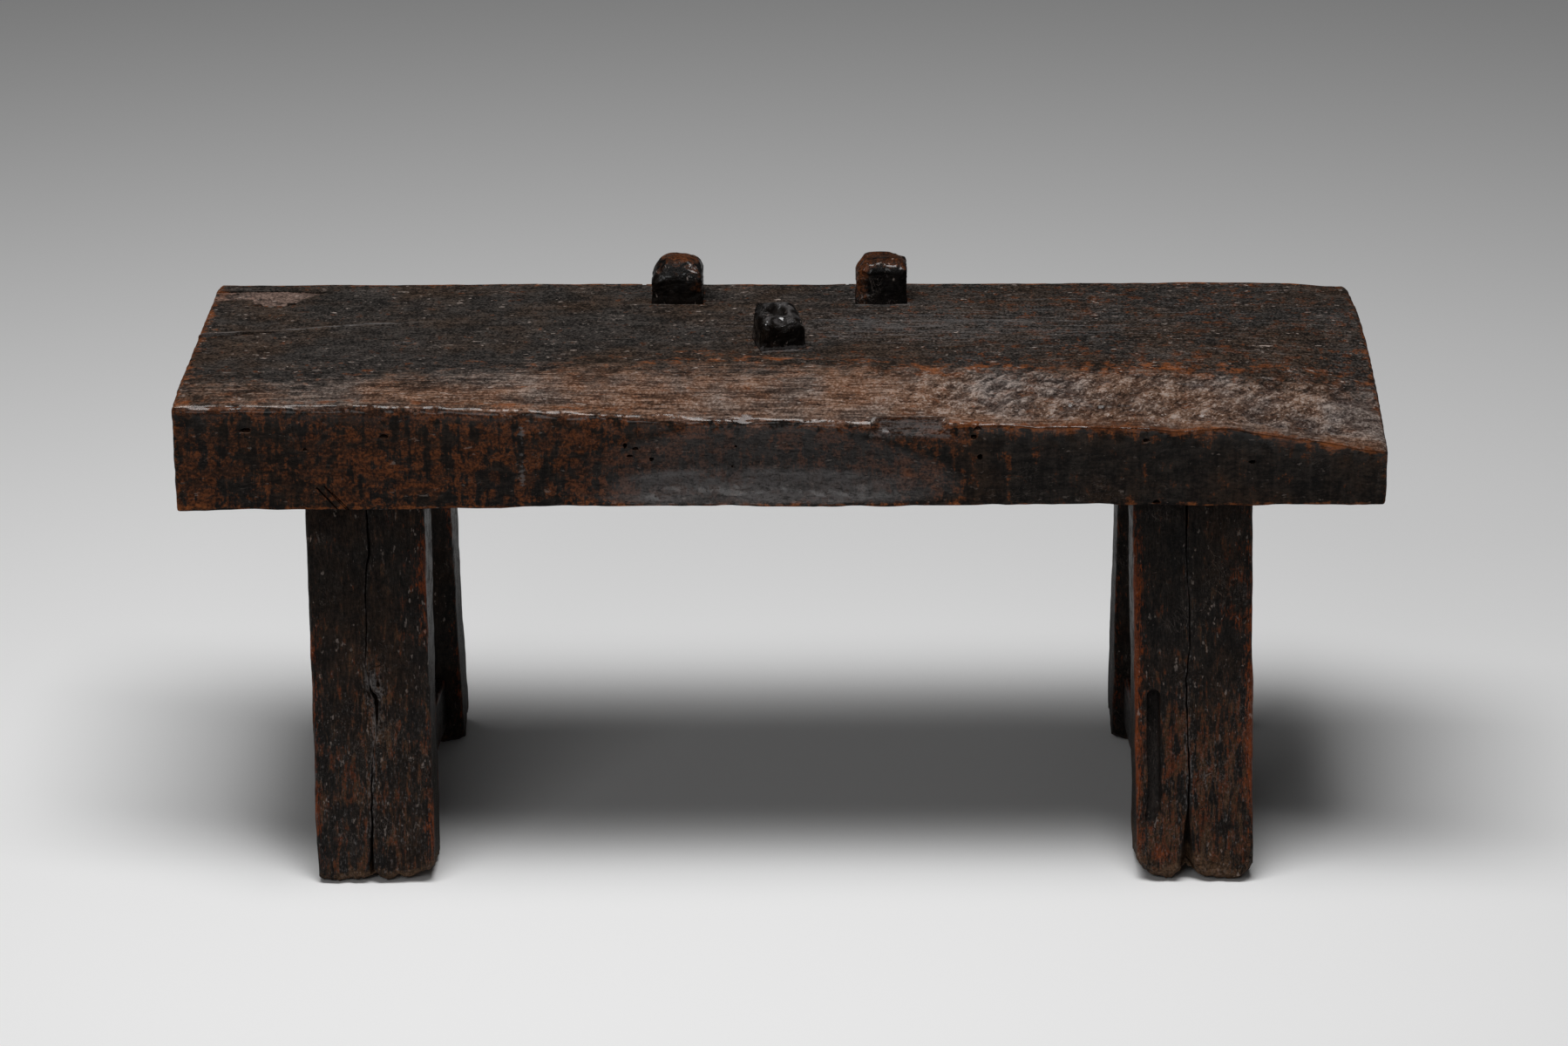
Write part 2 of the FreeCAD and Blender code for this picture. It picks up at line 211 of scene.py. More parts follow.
# Main crack down the outer face of each leg: height, place across the leg, half width, depth
LEG_CRACKS = {
    "front_left": ((334, 1.4, 0.9, 9), (311, 1.4, 0.9, 9), (278, 2.4, 0.7, 7), (262, -1.1, 0.4, 3),
                   (246, -2, 0.55, 5), (202, -2.2, 0.55, 4), (186, -4, 0.3, 1), (172, -1, 0.4, 2),
                   (163, 0.6, 1.6, 6), (156, 4.6, 2.4, 8), (146, 4.8, 1.3, 6), (129, 3.8, 0.7, 3),
                   (112, 1, 0.5, 3), (100, -1.2, 0.8, 6), (63, -2.4, 0.95, 8), (30, -3.4, 1.3, 11),
                   (0, -4.4, 2.2, 15)),
    "front_right": ((334, -5.6, 1.3, 11), (313, -5.3, 1.3, 11), (273, -5.6, 1.1, 9), (237, -3.4, 0.5, 4),
                    (200, -3.2, 0.5, 3), (171, -6.2, 0.8, 6), (127, -5.8, 0.95, 8), (83, -4, 1.1, 9),
                    (62, -5.1, 1.2, 8), (47, -6.4, 3, 10), (17, -6.6, 5.4, 14), (0, -6.6, 7, 17)),
    "back_left": ((334, 6, 0.8, 5), (240, 9, 1, 8), (150, 4, 0.7, 4), (70, 8, 1, 8), (0, 6, 2, 12)),
    "back_right": ((334, -4, 1, 8), (250, -9, 0.7, 4), (160, -2, 0.9, 7), (80, -7, 1.1, 8),
                   (0, -5, 1.8, 12)),
}
# Height of the worn foot across the outer face of each leg: place across the leg, height
FOOT_OUTLINES = {
    "front_left": ((-50, 4), (-44, 1.6), (-34, 0.6), (-24, 1.4), (-14, 3.6), (-7, 7), (-3, 9.5), (2, 5),
                   (9, 1.8), (15, 3.4), (19, 7), (24, 6), (32, 7.6), (40, 7), (45, 9), (50, 14)),
    "front_right": ((-50, 17), (-45, 9.5), (-38, 4.6), (-30, 2.2), (-20, 3.4), (-14, 8), (-10, 13),
                    (-7, 15.5), (-3, 12), (2, 7), (10, 2.6), (22, 0.6), (34, 0.2), (41, 2.6), (46, 7.5),
                    (50, 14)),
    "back_left": ((-53, 8), (-40, 2), (-20, 0.4), (0, 3), (20, 0.6), (34, 2), (44, 7), (53, 17)),
    "back_right": ((-53, 17), (-44, 7), (-34, 2), (-20, 0.6), (0, 2), (20, 0.4), (40, 2), (53, 8)),
}
# Knots in the legs: place across the leg, height, radius, depth
LEG_KNOTS = {
    "front_left": ((3.4, 164, 10, 4.6), (6, 137, 7, 3.6), (32, 226, 9, 0.8)),
    "front_right": ((39, 240, 10, 1.8), (16, 226, 8, 0.9), (8, 88, 4, 2)),
    "back_left": ((-20, 190, 9, 2),),
    "back_right": ((24, 120, 9, 2),),
}
# How bright the edges of each leg's outer face are rubbed: height, left edge, right edge
EDGE_WEAR = {
    "front_left": ((334, 0, 0.1), (300, 0.1, 0.7), (260, 0.2, 0.9), (215, 0.55, 0.8), (190, 0.7, 0.3),
                   (120, 0.75, 0.4), (60, 0.7, 0.65), (0, 0.4, 0.5)),
    "front_right": ((334, 0.15, 0.3), (300, 0.7, 0.4), (250, 0.95, 0.6), (190, 1, 0.85), (140, 1, 1.3),
                    (90, 0.8, 1), (40, 0.7, 0.4), (0, 0.5, 0.3)),
    "back_left": ((334, 0.3, 0.3), (170, 0.5, 0.6), (0, 0.6, 0.5)),
    "back_right": ((334, 0.3, 0.4), (170, 0.6, 0.5), (0, 0.5, 0.6)),
}
# Size of the grain's relief on the legs
LEG_GRAIN = (4.5, 4.5, 42)
# Old slot in one leg
SLOTTED_LEG = "front_right"
SLOT_LOW = 50
SLOT_HIGH = 164
SLOT_WIDTH = 12
SLOT_DEPTH = 16
SLOT_PLACE = -34
# Ragged lower part of its outline: distance from its middle, height
SLOT_LOWER_OUTLINE = ((-6.3, 124), (-5.6, 90), (-6.6, 68), (-8.6, 57), (-7.8, 51.5), (-4, 50.5),
                      (-1, 54), (4.5, 60), (6.5, 75), (5.6, 112))
# Heights between which the slot runs out at its lower end, and the share of its depth there
SLOT_RUN_OUT = ((50, 66), (0.35, 1))
# Scratches in the outer face of the front legs: place across the leg and height of both ends, width
LEG_SCRATCHES = {
    "front_left": ((-2, 181, 8, 186, 1.2), (5, 118, 12, 116, 1.4),
                   (-46, 296, -47, 288, 1.6)),
    "front_right": ((22, 219, 27, 229, 1.6), (12, 226, 18, 236, 1.3),
                    (4, 229, 9, 231, 1.2), (17, 220, 19, 226, 1.5),
                    (28, 246, 32, 251, 1.2), (34, 221, 40, 225, 1.2),
                    (25, 241, 20, 247, 1.1), (3, 87, 15, 93.5, 4.2),
                    (4, 62, 9, 66, 1.6), (-38, 260, -27, 263, 1),
                    (14, 286, 17, 292, 1.2)),
}
SCRATCH_DEPTH = 0.9
# Outer and inner ring of a scratch: depth, growth
SCRATCH_RINGS = ((-3, 2.6), (SCRATCH_DEPTH, 0.6))

# Stretchers
STRETCHER_LOW = 22
STRETCHER_HEIGHT = 48
STRETCHER_THICKNESS = 26
STRETCHER_FRONT_INSET = 19
STRETCHER_BACK_INSET = 10
STRETCHER_TENON_HEIGHT = 32
STRETCHER_TENON_THICKNESS = 14
STRETCHER_TENON_LENGTH = 24

# Bench stops: place, width, depth, turn, height above the slab
STOPS = {
    "back_left_stop": ((-92, 121.5), 45, 43, 0, 38),
    "back_right_stop": ((87, 121.5), 45, 43, 0, 38),
    "front_stop": ((-2, -9), 40, 40, math.radians(12), 34),
}
STOP_HANG = 25
STOP_GAP = 0.3
JOINT_GAP = 0.15
# Roundings of the stops' tops: left, right, front, back
STOP_ROUNDS = {"back_left_stop": (19, 13, 17, 10), "back_right_stop": (14, 7, 9, 8),
               "front_stop": (10, 12, 6, 7)}
# Extra rounding of the heads' upright edges: front left, back left, front right, back right
STOP_CORNERS = {"back_left_stop": (3,) * 4, "back_right_stop": (9, 2.6, 2.6, 2.6), "front_stop": (5,) * 4}
STOP_BLOWS = 14
# Stop with a dish worn into its head: place of the dish along it, radius
DISHED_STOP = "front_stop"
DISH_PLACE = 3
DISH_RADIUS = 7

# Masks that the materials read, each with its value where a piece doesn't set it
# Besides wax, dust and bare wood, some masks carry painted light: sheen painted as grey film, a smooth
# painted sheen and painted light in hollows and the slot, and a highlight painted as bare wood along the
# front arris
MASKS = {"worn": 0, "rubbed": 0, "stain": 0, "bare": 0, "film": 0, "polish": 0, "upright": 1,
         "raised": 0.5, "torn": 0, "veil": 0}
# Turn and stretch of the three kinds of fine scratches
SCRATCH_WAYS = ((0.5, (22, 200, 200)), (-0.6, (26, 240, 240)), (0.15, (18, 260, 260)))
# Tints of warm patina, of red worn wood, and of the worn band's plain and torn parts
WARM_TINT = (1.3, 1, 0.8)
RED_TINT = (1.22, 0.87, 0.64)
WEATHER_TINTS = ((0.91, 0.84, 0.79), (1.04, 1.09, 1.14))
PORE_DARK = (0.002, 0.0016, 0.0014)
BUMP_DISTANCE = 0.003
# Dark and light colours of each wood, on level and on upright faces
TONES = {
    "slab": (("seat_dark", "face_dark"), ("seat_light", "face_light")),
    "leg": (("face_dark", "face_dark"), ("leg_light", "leg_light")),
    "stop": (("stop_dark", "stop_dark"), ("face_dark", "face_dark")),
}
# Amounts and scales of each wood's material, those of the slab first, then what differs
SLAB_LOOK = {
    "grain": (0.28, 1, 1), "streak_scale": (190, 190, 22), "streak_detail": 5, "blotch_scale": 78,
    "streaks": 1.7, "patchiness": 2.8, "stain": 0.85, "stain_softness": 0.1, "red": "red_wood",
    "brown": "brown_wood", "edge": "orange_wood", "raw": "raw_and_glint_wood", "rubbed": 0.8, "edge_streaks": 1,
    "film": 0.6, "marks": 1, "face_marks": 0.25, "specular": 0.06, "roughness": 0.6, "gloss": 0.25,
    "coat": 1, "gleam": (0.43, 0.52), "coat_roughness": 0.14, "dents": 0.5, "grit": 0.3, "bump": 0.9,
}
LEG_LOOK = {
    "grain": (0.08, 2.4, 2.4), "streak_scale": (250, 250, 6), "streak_detail": 4, "blotch_scale": 34,
    "streaks": 2.6, "patchiness": 0.7, "stain_softness": 0.14, "red": "leg_red", "brown": "leg_brown",
    "edge": "leg_edge", "raw": "leg_crust", "rubbed": 0.9, "edge_streaks": 2.2, "film": 0.7, "marks": 0.8,
    "face_marks": 0.4, "specular": 0.08, "gloss": 0.2, "coat": 0.6, "coat_roughness": 0.32, "grit": 0.25,
    "bump": 0.8,
}
STOP_LOOK = {
    "grain": (0.3, 1, 1), "streak_scale": (120, 120, 40), "streak_detail": 4, "blotch_scale": 70,
    "streaks": 0.9, "patchiness": 1.4, "stain": 0.8, "stain_softness": 0.14, "rubbed": 0.45,
    "edge_streaks": 0.9, "film": 0.45, "marks": 0.5, "face_marks": 0.5, "specular": 0.08,
    "roughness": 0.5, "gloss": 0.2, "gleam": (0.49, 0.56), "coat_roughness": 0.13, "dents": 0.7,
    "grit": 0.5, "bump": 0.45,
}
LOOKS = {"slab": SLAB_LOOK, "leg": {**SLAB_LOOK, **LEG_LOOK}, "stop": {**SLAB_LOOK, **STOP_LOOK}}
# Turn that brings the grain along X, for grain that runs along X, Y and Z
GRAIN_TURN = ((0, 0, 0), (0, 0, math.pi / 2), (0, math.pi / 2, 0))

# Half the floor's width in metres, and the width of the camera's sensor in millimetres
FLOOR_REACH = 20
SENSOR_WIDTH = 36


def length(name, description, default):
    """Length setting in metres."""
    return FloatProperty(name=name, description=description, default=default, min=0, unit="LENGTH",
                         subtype="DISTANCE", precision=4)


def share(name, description, default):
    """Setting from 0 to 1."""
    return FloatProperty(name=name, description=description, default=default, min=0, max=1, subtype="FACTOR")


def colour(name, description, default):
    """Colour setting, in linear light."""
    return FloatVectorProperty(name=name, description=description, default=default, size=3, min=0, max=1,
                               subtype="COLOR")


def angle(name, description, default):
    """Turn setting in radians."""
    return FloatProperty(name=name, description=description, default=default, unit="ROTATION")


def power(name, description, default):
    """Lamp power setting in watts."""
    return FloatProperty(name=name, description=description, default=default, min=0, unit="POWER")


class SlabSettings(bpy.types.PropertyGroup):
    """Shape of the slab's edges, hollows and surface."""
    back_corner_round: length("Back Corners", "Radius of the two upright corners at the back", 0.014)
    front_corner_round: length("Front Corners", "Radius of the two upright corners in front", 0.005)
    edge_round: length("Edges", "Radius of the top edges at the back and the ends", 0.006)
    front_edge_left: length("Front Edge, Left", "Radius of the front top edge at the left end", 0.0072)
    front_edge_right: length("Front Edge, Right", "Radius of the front top edge at the right end", 0.0020)
    scoop_depth: length("Hollow", "Depth of the hollow in the front face", 0.0125)
    fibre_relief: length("Fibre Relief", "Height of the raised fibres on the seat", 0.0004)
    torn_relief: length("Torn Relief", "Height of the torn fibres in the worn band", 0.0013)
    hewn_relief: length("Hewn Relief", "Height of the tool marks on the back and underneath", 0.0011)


class LegSettings(bpy.types.PropertyGroup):
    """Shape of the legs and stretchers."""
    edge_round: length("Edges", "Radius of the legs' long edges", 0.0034)
    relief: length("Relief", "Height of the weathered grain", 0.00045)
    unevenness: length("Unevenness", "How far the hewn faces stray from flat", 0.0008)


class StopSettings(bpy.types.PropertyGroup):
    """Shape of the bench stops."""
    edge_round: length("Edges", "Radius of the upright edges", 0.0024)
    facets: length("Facets", "Depth of the hammered facets on the heads", 0.0010)
    dish_depth: length("Dish", "Depth of the dish worn into the front stop", 0.0055)


class FinishSettings(bpy.types.PropertyGroup):
    """Colours of the aged wood."""
    seat_dark: colour("Seat, Dark", "Dull dark patina on top of the slab", (0.0080, 0.0071, 0.0065))
    seat_light: colour("Seat, Light", "Lighter fibres on top of the slab", (0.055, 0.0475, 0.0425))
    face_dark: colour("Faces, Dark", "Blackened patina on upright faces", (0.0056, 0.0049, 0.0045))
    face_light: colour("Faces, Light", "Browner parts of the upright faces", (0.0260, 0.0210, 0.0178))
    red_wood: colour("Red Wood", "Wood that shows where the patina is rubbed", (0.112, 0.034, 0.0110))
    brown_wood: colour("Brown Wood", "Duller wood in the rubbed places", (0.036, 0.0160, 0.0090))
    leg_light: colour("Legs, Light", "Lighter fibres of the legs", (0.0245, 0.0190, 0.0158))
    leg_red: colour("Legs, Red", "Red streaks of the legs", (0.094, 0.0215, 0.0065))
    leg_brown: colour("Legs, Brown", "Brown streaks of the legs", (0.068, 0.0370, 0.0195))
    leg_edge: colour("Legs, Edges", "Brightest wood along the legs' edges", (0.20, 0.042, 0.0080))
    leg_crust: colour("Legs, Feet", "Rough brown wood of the worn feet", (0.105, 0.060, 0.034))
    orange_wood: colour("Orange Wood", "Wood that shows where an edge is worn bright", (0.25, 0.078, 0.023))
    worn_wood: colour("Worn Wood", "Dry wood of the worn band", (0.238, 0.190, 0.164))
    worn_dark: colour("Worn Wood, Dark", "Hollows of the worn band", (0.070, 0.049, 0.041))
    # Also paints highlights on the raised torn fibres
    pale_wood: colour("Worn Wood, Pale", "Palest torn fibres of the worn band", (0.47, 0.385, 0.340))
    pit_dark: colour("Pits", "Bottom of pits and tears", (0.0085, 0.0064, 0.0055))
    # Set pale enough to also paint the highlight on the front arris
    raw_and_glint_wood: colour("Raw Wood", "Bare wood of breaks and cuts", (0.23, 0.155, 0.126))
    # Grey of old wax and dust; the same grey also paints sheen and highlights on some faces
    grey_film: colour("Grey Film", "Old wax and dust", (0.125, 0.116, 0.114))
    # Grey of the painted sheen in the hollow and on the front stop's top, and of painted light in the slot
    thin_film: colour("Thin Film", "Smooth veil of wax in the hollow", (0.092, 0.085, 0.084))
    stop_dark: colour("Stops", "Blackened wood of the stops", (0.0026, 0.0023, 0.0022))
    wedge_wood: colour("Wedges", "Unstained wood of the hidden wedges", (0.36, 0.23, 0.12))


class StageSettings(bpy.types.PropertyGroup):
    """Floor, lamps and camera."""
    floor: colour("Floor", "Colour of the floor", (0.93, 0.93, 0.93))
    key_power: power("Key Lamp", "Power of the large lamp overhead", 70)
    fill_power: power("Fill Lamp", "Power of the wide lamp in front", 20)
    ambient: share("Ambient", "Brightness of the even light from all round", 0.045)
    camera_place: FloatVectorProperty(name="Camera", description="Place of the camera", size=3,
                                      default=(0.0331, -3.8054, 1.6505), unit="LENGTH",
                                      subtype="TRANSLATION")
    camera_pitch: angle("Pitch", "How far the camera looks down", 0.35053)
    camera_yaw: angle("Yaw", "How far the camera looks to the side", -0.00833)
    camera_roll: angle("Roll", "How far the camera is tilted", -0.0056)
    camera_lens: FloatProperty(name="Lens", description="Focal length in millimetres", default=107.06, min=1)


def mm(value):
    """Length setting in millimetres."""
    return value / MM


def smooth_step(values, low, high):
    """0 below low, 1 above high, and a smooth rise between."""
    t = np.clip((values - low) / (high - low), 0, 1)
    return t * t * (3 - 2 * t)


def bell(values, centre, spread):
    """1 at the centre, falling to nothing on both sides."""
    return np.exp(-((values - centre) / spread) ** 2)


def curve_through(places, heights, x):
    """Smooth curve through a table of places and heights."""
    places = np.asarray(places, float)
    heights = np.asarray(heights, float)
    slopes = np.gradient(heights, places)
    i = np.clip(np.searchsorted(places, x) - 1, 0, len(places) - 2)
    width = places[i + 1] - places[i]
    t = np.clip((x - places[i]) / width, 0, 1)
    rise = heights[i] * (2 * t ** 3 - 3 * t ** 2 + 1) + heights[i + 1] * (3 * t ** 2 - 2 * t ** 3)
    return rise + width * (slopes[i] * (t ** 3 - 2 * t ** 2 + t) + slopes[i + 1] * (t ** 3 - t ** 2))


def random_field(points, patch, seed):
    """Smooth random values from -1 to 1. patch is the size of one patch along X, Y and Z."""
    table = np.random.default_rng(seed).uniform(-1, 1, (FIELD_SIZE,) * 3)
    place = np.asarray(points) / np.asarray(patch)
    base = np.floor(place).astype(int)
    part = place - base
    part = part * part * (3 - 2 * part)
    total = np.zeros(len(place))
    for corner in itertools.product((0, 1), repeat=3):
        weight = np.prod(np.where(corner, part, 1 - part), axis=1)
        total += weight * table[tuple(((base + corner) % FIELD_SIZE).T)]
    return total


def layered_field(points, patch, seed, layers=3):
    """Random field with finer layers on top of it."""
    total = np.zeros(len(points))
    for i in range(layers):
        total += random_field(points, np.asarray(patch) / 2 ** i, seed + i) / 2 ** i
    return total


def turned(points, turn):
    """Points turned about Z."""
    c, s = math.cos(turn), math.sin(turn)
    return points @ np.array(((c, s, 0), (-s, c, 0), (0, 0, 1)))


def graded_lines(low, high, count, crowds):
    """Lines from low to high, closer together round each crowd (place, gain, spread)."""
    x = np.linspace(low, high, GRADING_STEPS)
    density = np.ones_like(x)
    for place, gain, spread in crowds:
        density += gain * np.exp(-np.abs(x - place) / spread)
    total = np.concatenate(([0], np.cumsum((density[1:] + density[:-1]) / 2)))
    return np.interp(np.linspace(0, total[-1], count + 1), total, x)


def read_points(bm):
    """Vertices of a mesh being built, as an array."""
    return np.array([v.co for v in bm.verts])


def write_points(bm, points):
    """Moves the vertices of a mesh being built. The points are in millimetres."""
    for v, p in zip(bm.verts, points * MM):
        v.co = p


def grid_block(lines):
    """Closed block cut into quads along the given lines in X, Y and Z, with the step of each vertex."""
    bm = bmesh.new()
    bmesh.ops.create_cube(bm, size=1)
    for axis in range(3):
        along = [e for e in bm.edges if abs(e.verts[0].co[axis] - e.verts[1].co[axis]) > 0.9]
        bmesh.ops.subdivide_edges(bm, edges=along, cuts=len(lines[axis]) - 2, use_grid_fill=True)
    counts = np.array([len(row) - 1 for row in lines])
    steps = np.rint((read_points(bm) + 0.5) * counts).astype(int)
    points = np.stack([np.asarray(lines[axis])[steps[:, axis]] for axis in range(3)], axis=1)
    return bm, points, steps


def round_edge(points, axes, edge, outward, radius):
    """Rounds one edge of a block: the square beside the edge is drawn in to a quarter of a disc."""
    a, b = axes
    u = np.clip((points[:, a] - edge[0]) * outward[0] / radius + 1, 0, 1)
    v = np.clip((points[:, b] - edge[1]) * outward[1] / radius + 1, 0, 1)
    beside = (u > 0) & (v > 0)
    move_a = outward[0] * radius * u * (np.sqrt(1 - v * v / 2) - 1)
    move_b = outward[1] * radius * v * (np.sqrt(1 - u * u / 2) - 1)
    points[:, a] += np.where(beside, move_a, 0)
    points[:, b] += np.where(beside, move_b, 0)


def surface_normals(bm, points):
    """Normals of the surface that the points make, once they are set in the mesh."""
    write_points(bm, points)
    bmesh.ops.recalc_face_normals(bm, faces=bm.faces)
    bm.normal_update()
    return np.array([v.normal for v in bm.verts])


def move_along_normals(bm, points, heights):
    """Points moved by a height along the surface's own normals."""
    return points + surface_normals(bm, points) * np.asarray(heights)[:, None]


def add_prism(bm, lower, upper):
    """Adds a closed prism between two rings of points: one face, extruded, its far ring set in place."""
    near = [bm.verts.new(Vector(p) * MM) for p in lower]
    grown = bmesh.ops.extrude_face_region(bm, geom=[bm.faces.new(near)], use_keep_orig=True)
    for v in grown["geom"]:
        if isinstance(v, bmesh.types.BMVert):
            i = min(range(len(near)), key=lambda k: (near[k].co - v.co).length)
            v.co = Vector(upper[i]) * MM


def rectangle(centre, size, height, turn=0):
    """Corners of a level rectangle."""
    c, s = math.cos(turn), math.sin(turn)
    corners = []
    for sx, sy in ((-1, -1), (1, -1), (1, 1), (-1, 1)):
        u, v = sx * size[0] / 2, sy * size[1] / 2
        corners.append((centre[0] + u * c - v * s, centre[1] + u * s + v * c, height))
    return corners


def add_block(bm, low, high, turn=0):
    """Adds a prism between two level rectangles, each given by its centre, size and height."""
    add_prism(bm, rectangle(*low, turn), rectangle(*high, turn))


def add_pit(bm, outline, floor):
    """Adds an upright prism from a floor, given for each corner of its outline, to above the slab."""
    add_prism(bm, [(*corner, z) for corner, z in zip(outline, floor)],
              [(*corner, TOP + CLEAR) for corner in outline])


def cut_line(u0, z0, u1, z1, width):
    """Both ends of a straight cut, and half its width as a vector across it."""
    along = Vector((u1 - u0, z1 - z0))
    return Vector((u0, z0)), Vector((u1, z1)), Vector((-along.y, along.x)).normalized() * width / 2


def new_object(bm, name):
    """Object for a finished bmesh, at the origin."""
    bmesh.ops.recalc_face_normals(bm, faces=bm.faces)
    mesh = bpy.data.meshes.new(name)
    bm.to_mesh(mesh)
    bm.free()
    piece = bpy.data.objects.new(name, mesh)
    bpy.context.scene.collection.objects.link(piece)
    return piece


def cut_away(piece, cutters):
    """Cuts every prism of the cutters' mesh out of a piece."""
    tool = new_object(cutters, piece.name + "_cutters")
    cut = piece.modifiers.new("Cuts", "BOOLEAN")
    cut.operation = "DIFFERENCE"
    cut.solver = "MANIFOLD"
    cut.object = tool
    depsgraph = bpy.context.evaluated_depsgraph_get()
    before = piece.data
    piece.data = bpy.data.meshes.new_from_object(piece.evaluated_get(depsgraph))
    piece.modifiers.clear()
    bpy.data.meshes.remove(before)
    tool_mesh = tool.data
    bpy.data.objects.remove(tool)
    bpy.data.meshes.remove(tool_mesh)
    if len(piece.data.polygons) == 0:
        raise RuntimeError(piece.name + " vanished when its joints were cut")


def mesh_arrays(mesh):
    """Vertices in millimetres and their normals."""
    points = np.empty(len(mesh.vertices) * 3)
    mesh.vertices.foreach_get("co", points)
    normals = np.empty(len(mesh.vertices) * 3)
    mesh.vertices.foreach_get("normal", normals)
    return points.reshape(-1, 3) / MM, normals.reshape(-1, 3)


def store_masks(mesh, masks):
    """Keeps masks from 0 to 1 on the vertices, for the materials to read."""
    for name, plain in MASKS.items():
        values = np.broadcast_to(np.clip(masks.get(name, plain), 0, 1), len(mesh.vertices))
        layer = mesh.attributes.new(name, "FLOAT", "POINT")
        layer.data.foreach_set("value", values.astype(np.float32))


def hand_over(piece, masks, material, body, node):
    """Gives a finished piece its masks, its material and its place in the frame."""
    mesh = piece.data
    mesh.name = piece.name
    store_masks(mesh, masks)
    mesh.shade_smooth()
    mesh.set_sharp_from_angle(angle=SHARP_ANGLE)
    mesh.materials.clear()
    mesh.materials.append(material)
    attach(piece, body)
    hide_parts(node)


def look_up(rows, place):
    """Columns of a table, each read at a place in the table's first column."""
    table = np.array(sorted(rows), float)
    return [np.interp(place, table[:, 0], column) for column in table.T[1:]]


def strength(name, x):
    """Strength of an effect at a place along the slab."""
    return look_up(ALONG_SLAB[name], x)[0]


def fade(spread, *distances):
    """1 on an edge, falling away with the distances from the faces that meet there."""
    return np.exp(-sum(distances) / spread)


def worn_drop(x, y):
    """How far wear lowers the seat at a place."""
    reach = curve_through(WORN_PLACES, WORN_REACH, x)
    depth = curve_through(WORN_PLACES, WORN_DEPTH, x)
    run = np.maximum(FRONT + reach - y, 0)
    bend = (depth - WORN_START_SLOPE * reach) / reach ** 2
    drop = WORN_START_SLOPE * run + bend * run * run
    near_edge = np.exp(-np.maximum(y - FRONT, 0) / EDGE_DIP_REACH)
    for place, spread, dip in EDGE_DIPS:
        drop = drop + dip * bell(x, place, spread) * near_edge
    return drop


def above_scoop_line(x, z):
    """Height above the deepest line of the hollow in the front face."""
    u = (x - SCOOP_X) / SCOOP_HALF_LENGTH
    return z - UNDERSIDE - SCOOP_HEIGHT + SCOOP_SINK * u * u


def scoop_hollow(x, z, depth):
    """Depth of the hollow in the front face at a place."""
    u = (x - SCOOP_X) / SCOOP_HALF_LENGTH
    rise = above_scoop_line(x, z)
    v = rise / np.where(rise > 0, SCOOP_REACH_UP, SCOOP_REACH_DOWN)
    hollow = depth * (1 - u * u - v * v)
    return (hollow + np.sqrt(hollow * hollow + SCOOP_SOFTNESS)) / 2


def split_line(x):
    """Y of the split, and of the raised line that carries it on, at a place along the slab."""
    return look_up(SPLIT_LINE, x)[0]


def from_seat_knot(x, y):
    """Distance from the knot in the seat, stretched along the grain."""
    return np.hypot(x - SEAT_KNOT[0], (y - SEAT_KNOT[1]) * SEAT_KNOT_SQUEEZE)


def torn_share(x, y):
    """Where the worn band is torn to rough fibres, from 0 to 1."""
    line = curve_through(BAND_PLACES, BAND_LINE, x)
    band = smooth_step(y, *TORN_FROM) * (1 - smooth_step(y, line - TORN_SOFT, line + TORN_SOFT))
    rise = TORN_LEFT + (1 - TORN_LEFT) * smooth_step(x, *TORN_RISE)
    return band * rise * (1 - TORN_LOSS * smooth_step(x, *TORN_FALL))


def shape_slab_block(settings):
    """Slab with rounded edges, the worn front and the scooped hollow."""
    ends = ((-HALF_LENGTH, 3, 9), (HALF_LENGTH, 3, 9))
    bm, p, _ = grid_block((
        graded_lines(-HALF_LENGTH, HALF_LENGTH, 278, (*ends, (270, 1.2, 130))),
        graded_lines(FRONT, BACK, 112, ((FRONT, 3.2, 26), (BACK, 3, 8))),
        graded_lines(UNDERSIDE, TOP, 32, ((UNDERSIDE, 1.5, 6), (TOP, 2.2, 8)))))
    top_round = mm(settings.edge_round)
    end_edges = ((1, BACK, 1, mm(settings.back_corner_round)),
                 (1, FRONT, -1, mm(settings.front_corner_round)),
                 (2, TOP, 1, top_round), (2, UNDERSIDE, -1, LOWER_ROUND))
    for out, (axis, edge, other_out, radius) in itertools.product((-1, 1), end_edges):
        round_edge(p, (0, axis), (out * HALF_LENGTH, edge), (out, other_out), radius)
    left, right = mm(settings.front_edge_left), mm(settings.front_edge_right)
    front_round = left + (right - left) * smooth_step(p[:, 0], -60, 200)
    long_edges = ((FRONT, -1, front_round, FRONT_LOWER_ROUND), (BACK, 1, top_round, LOWER_ROUND))
    for edge, out, upper, lower in long_edges:
        round_edge(p, (1, 2), (edge, TOP), (out, 1), upper)
        round_edge(p, (1, 2), (edge, UNDERSIDE), (out, -1), lower)
    x, y, z = p.T.copy()
    corner_fall = CORNER_FALL * smooth_step(x, 430, 512) * smooth_step(y, 70, 168)
    p[:, 2] = UNDERSIDE + (z - UNDERSIDE) * (1 - (worn_drop(x, y) + corner_fall) / (TOP - UNDERSIDE))
    sag = smooth_step(-x, 190, 340) * (1 - smooth_step(y, FRONT + 20, FRONT + 44))
    p[:, 2] -= LEFT_SAG * sag * np.clip(1 - (z - UNDERSIDE) / 30, 0, 1)
    near_front = np.clip(1 - (p[:, 1] - FRONT) / SCOOP_PULL, 0, 1) ** 2
    p[:, 1] += near_front * scoop_hollow(p[:, 0], p[:, 2], mm(settings.scoop_depth))
    return bm, p


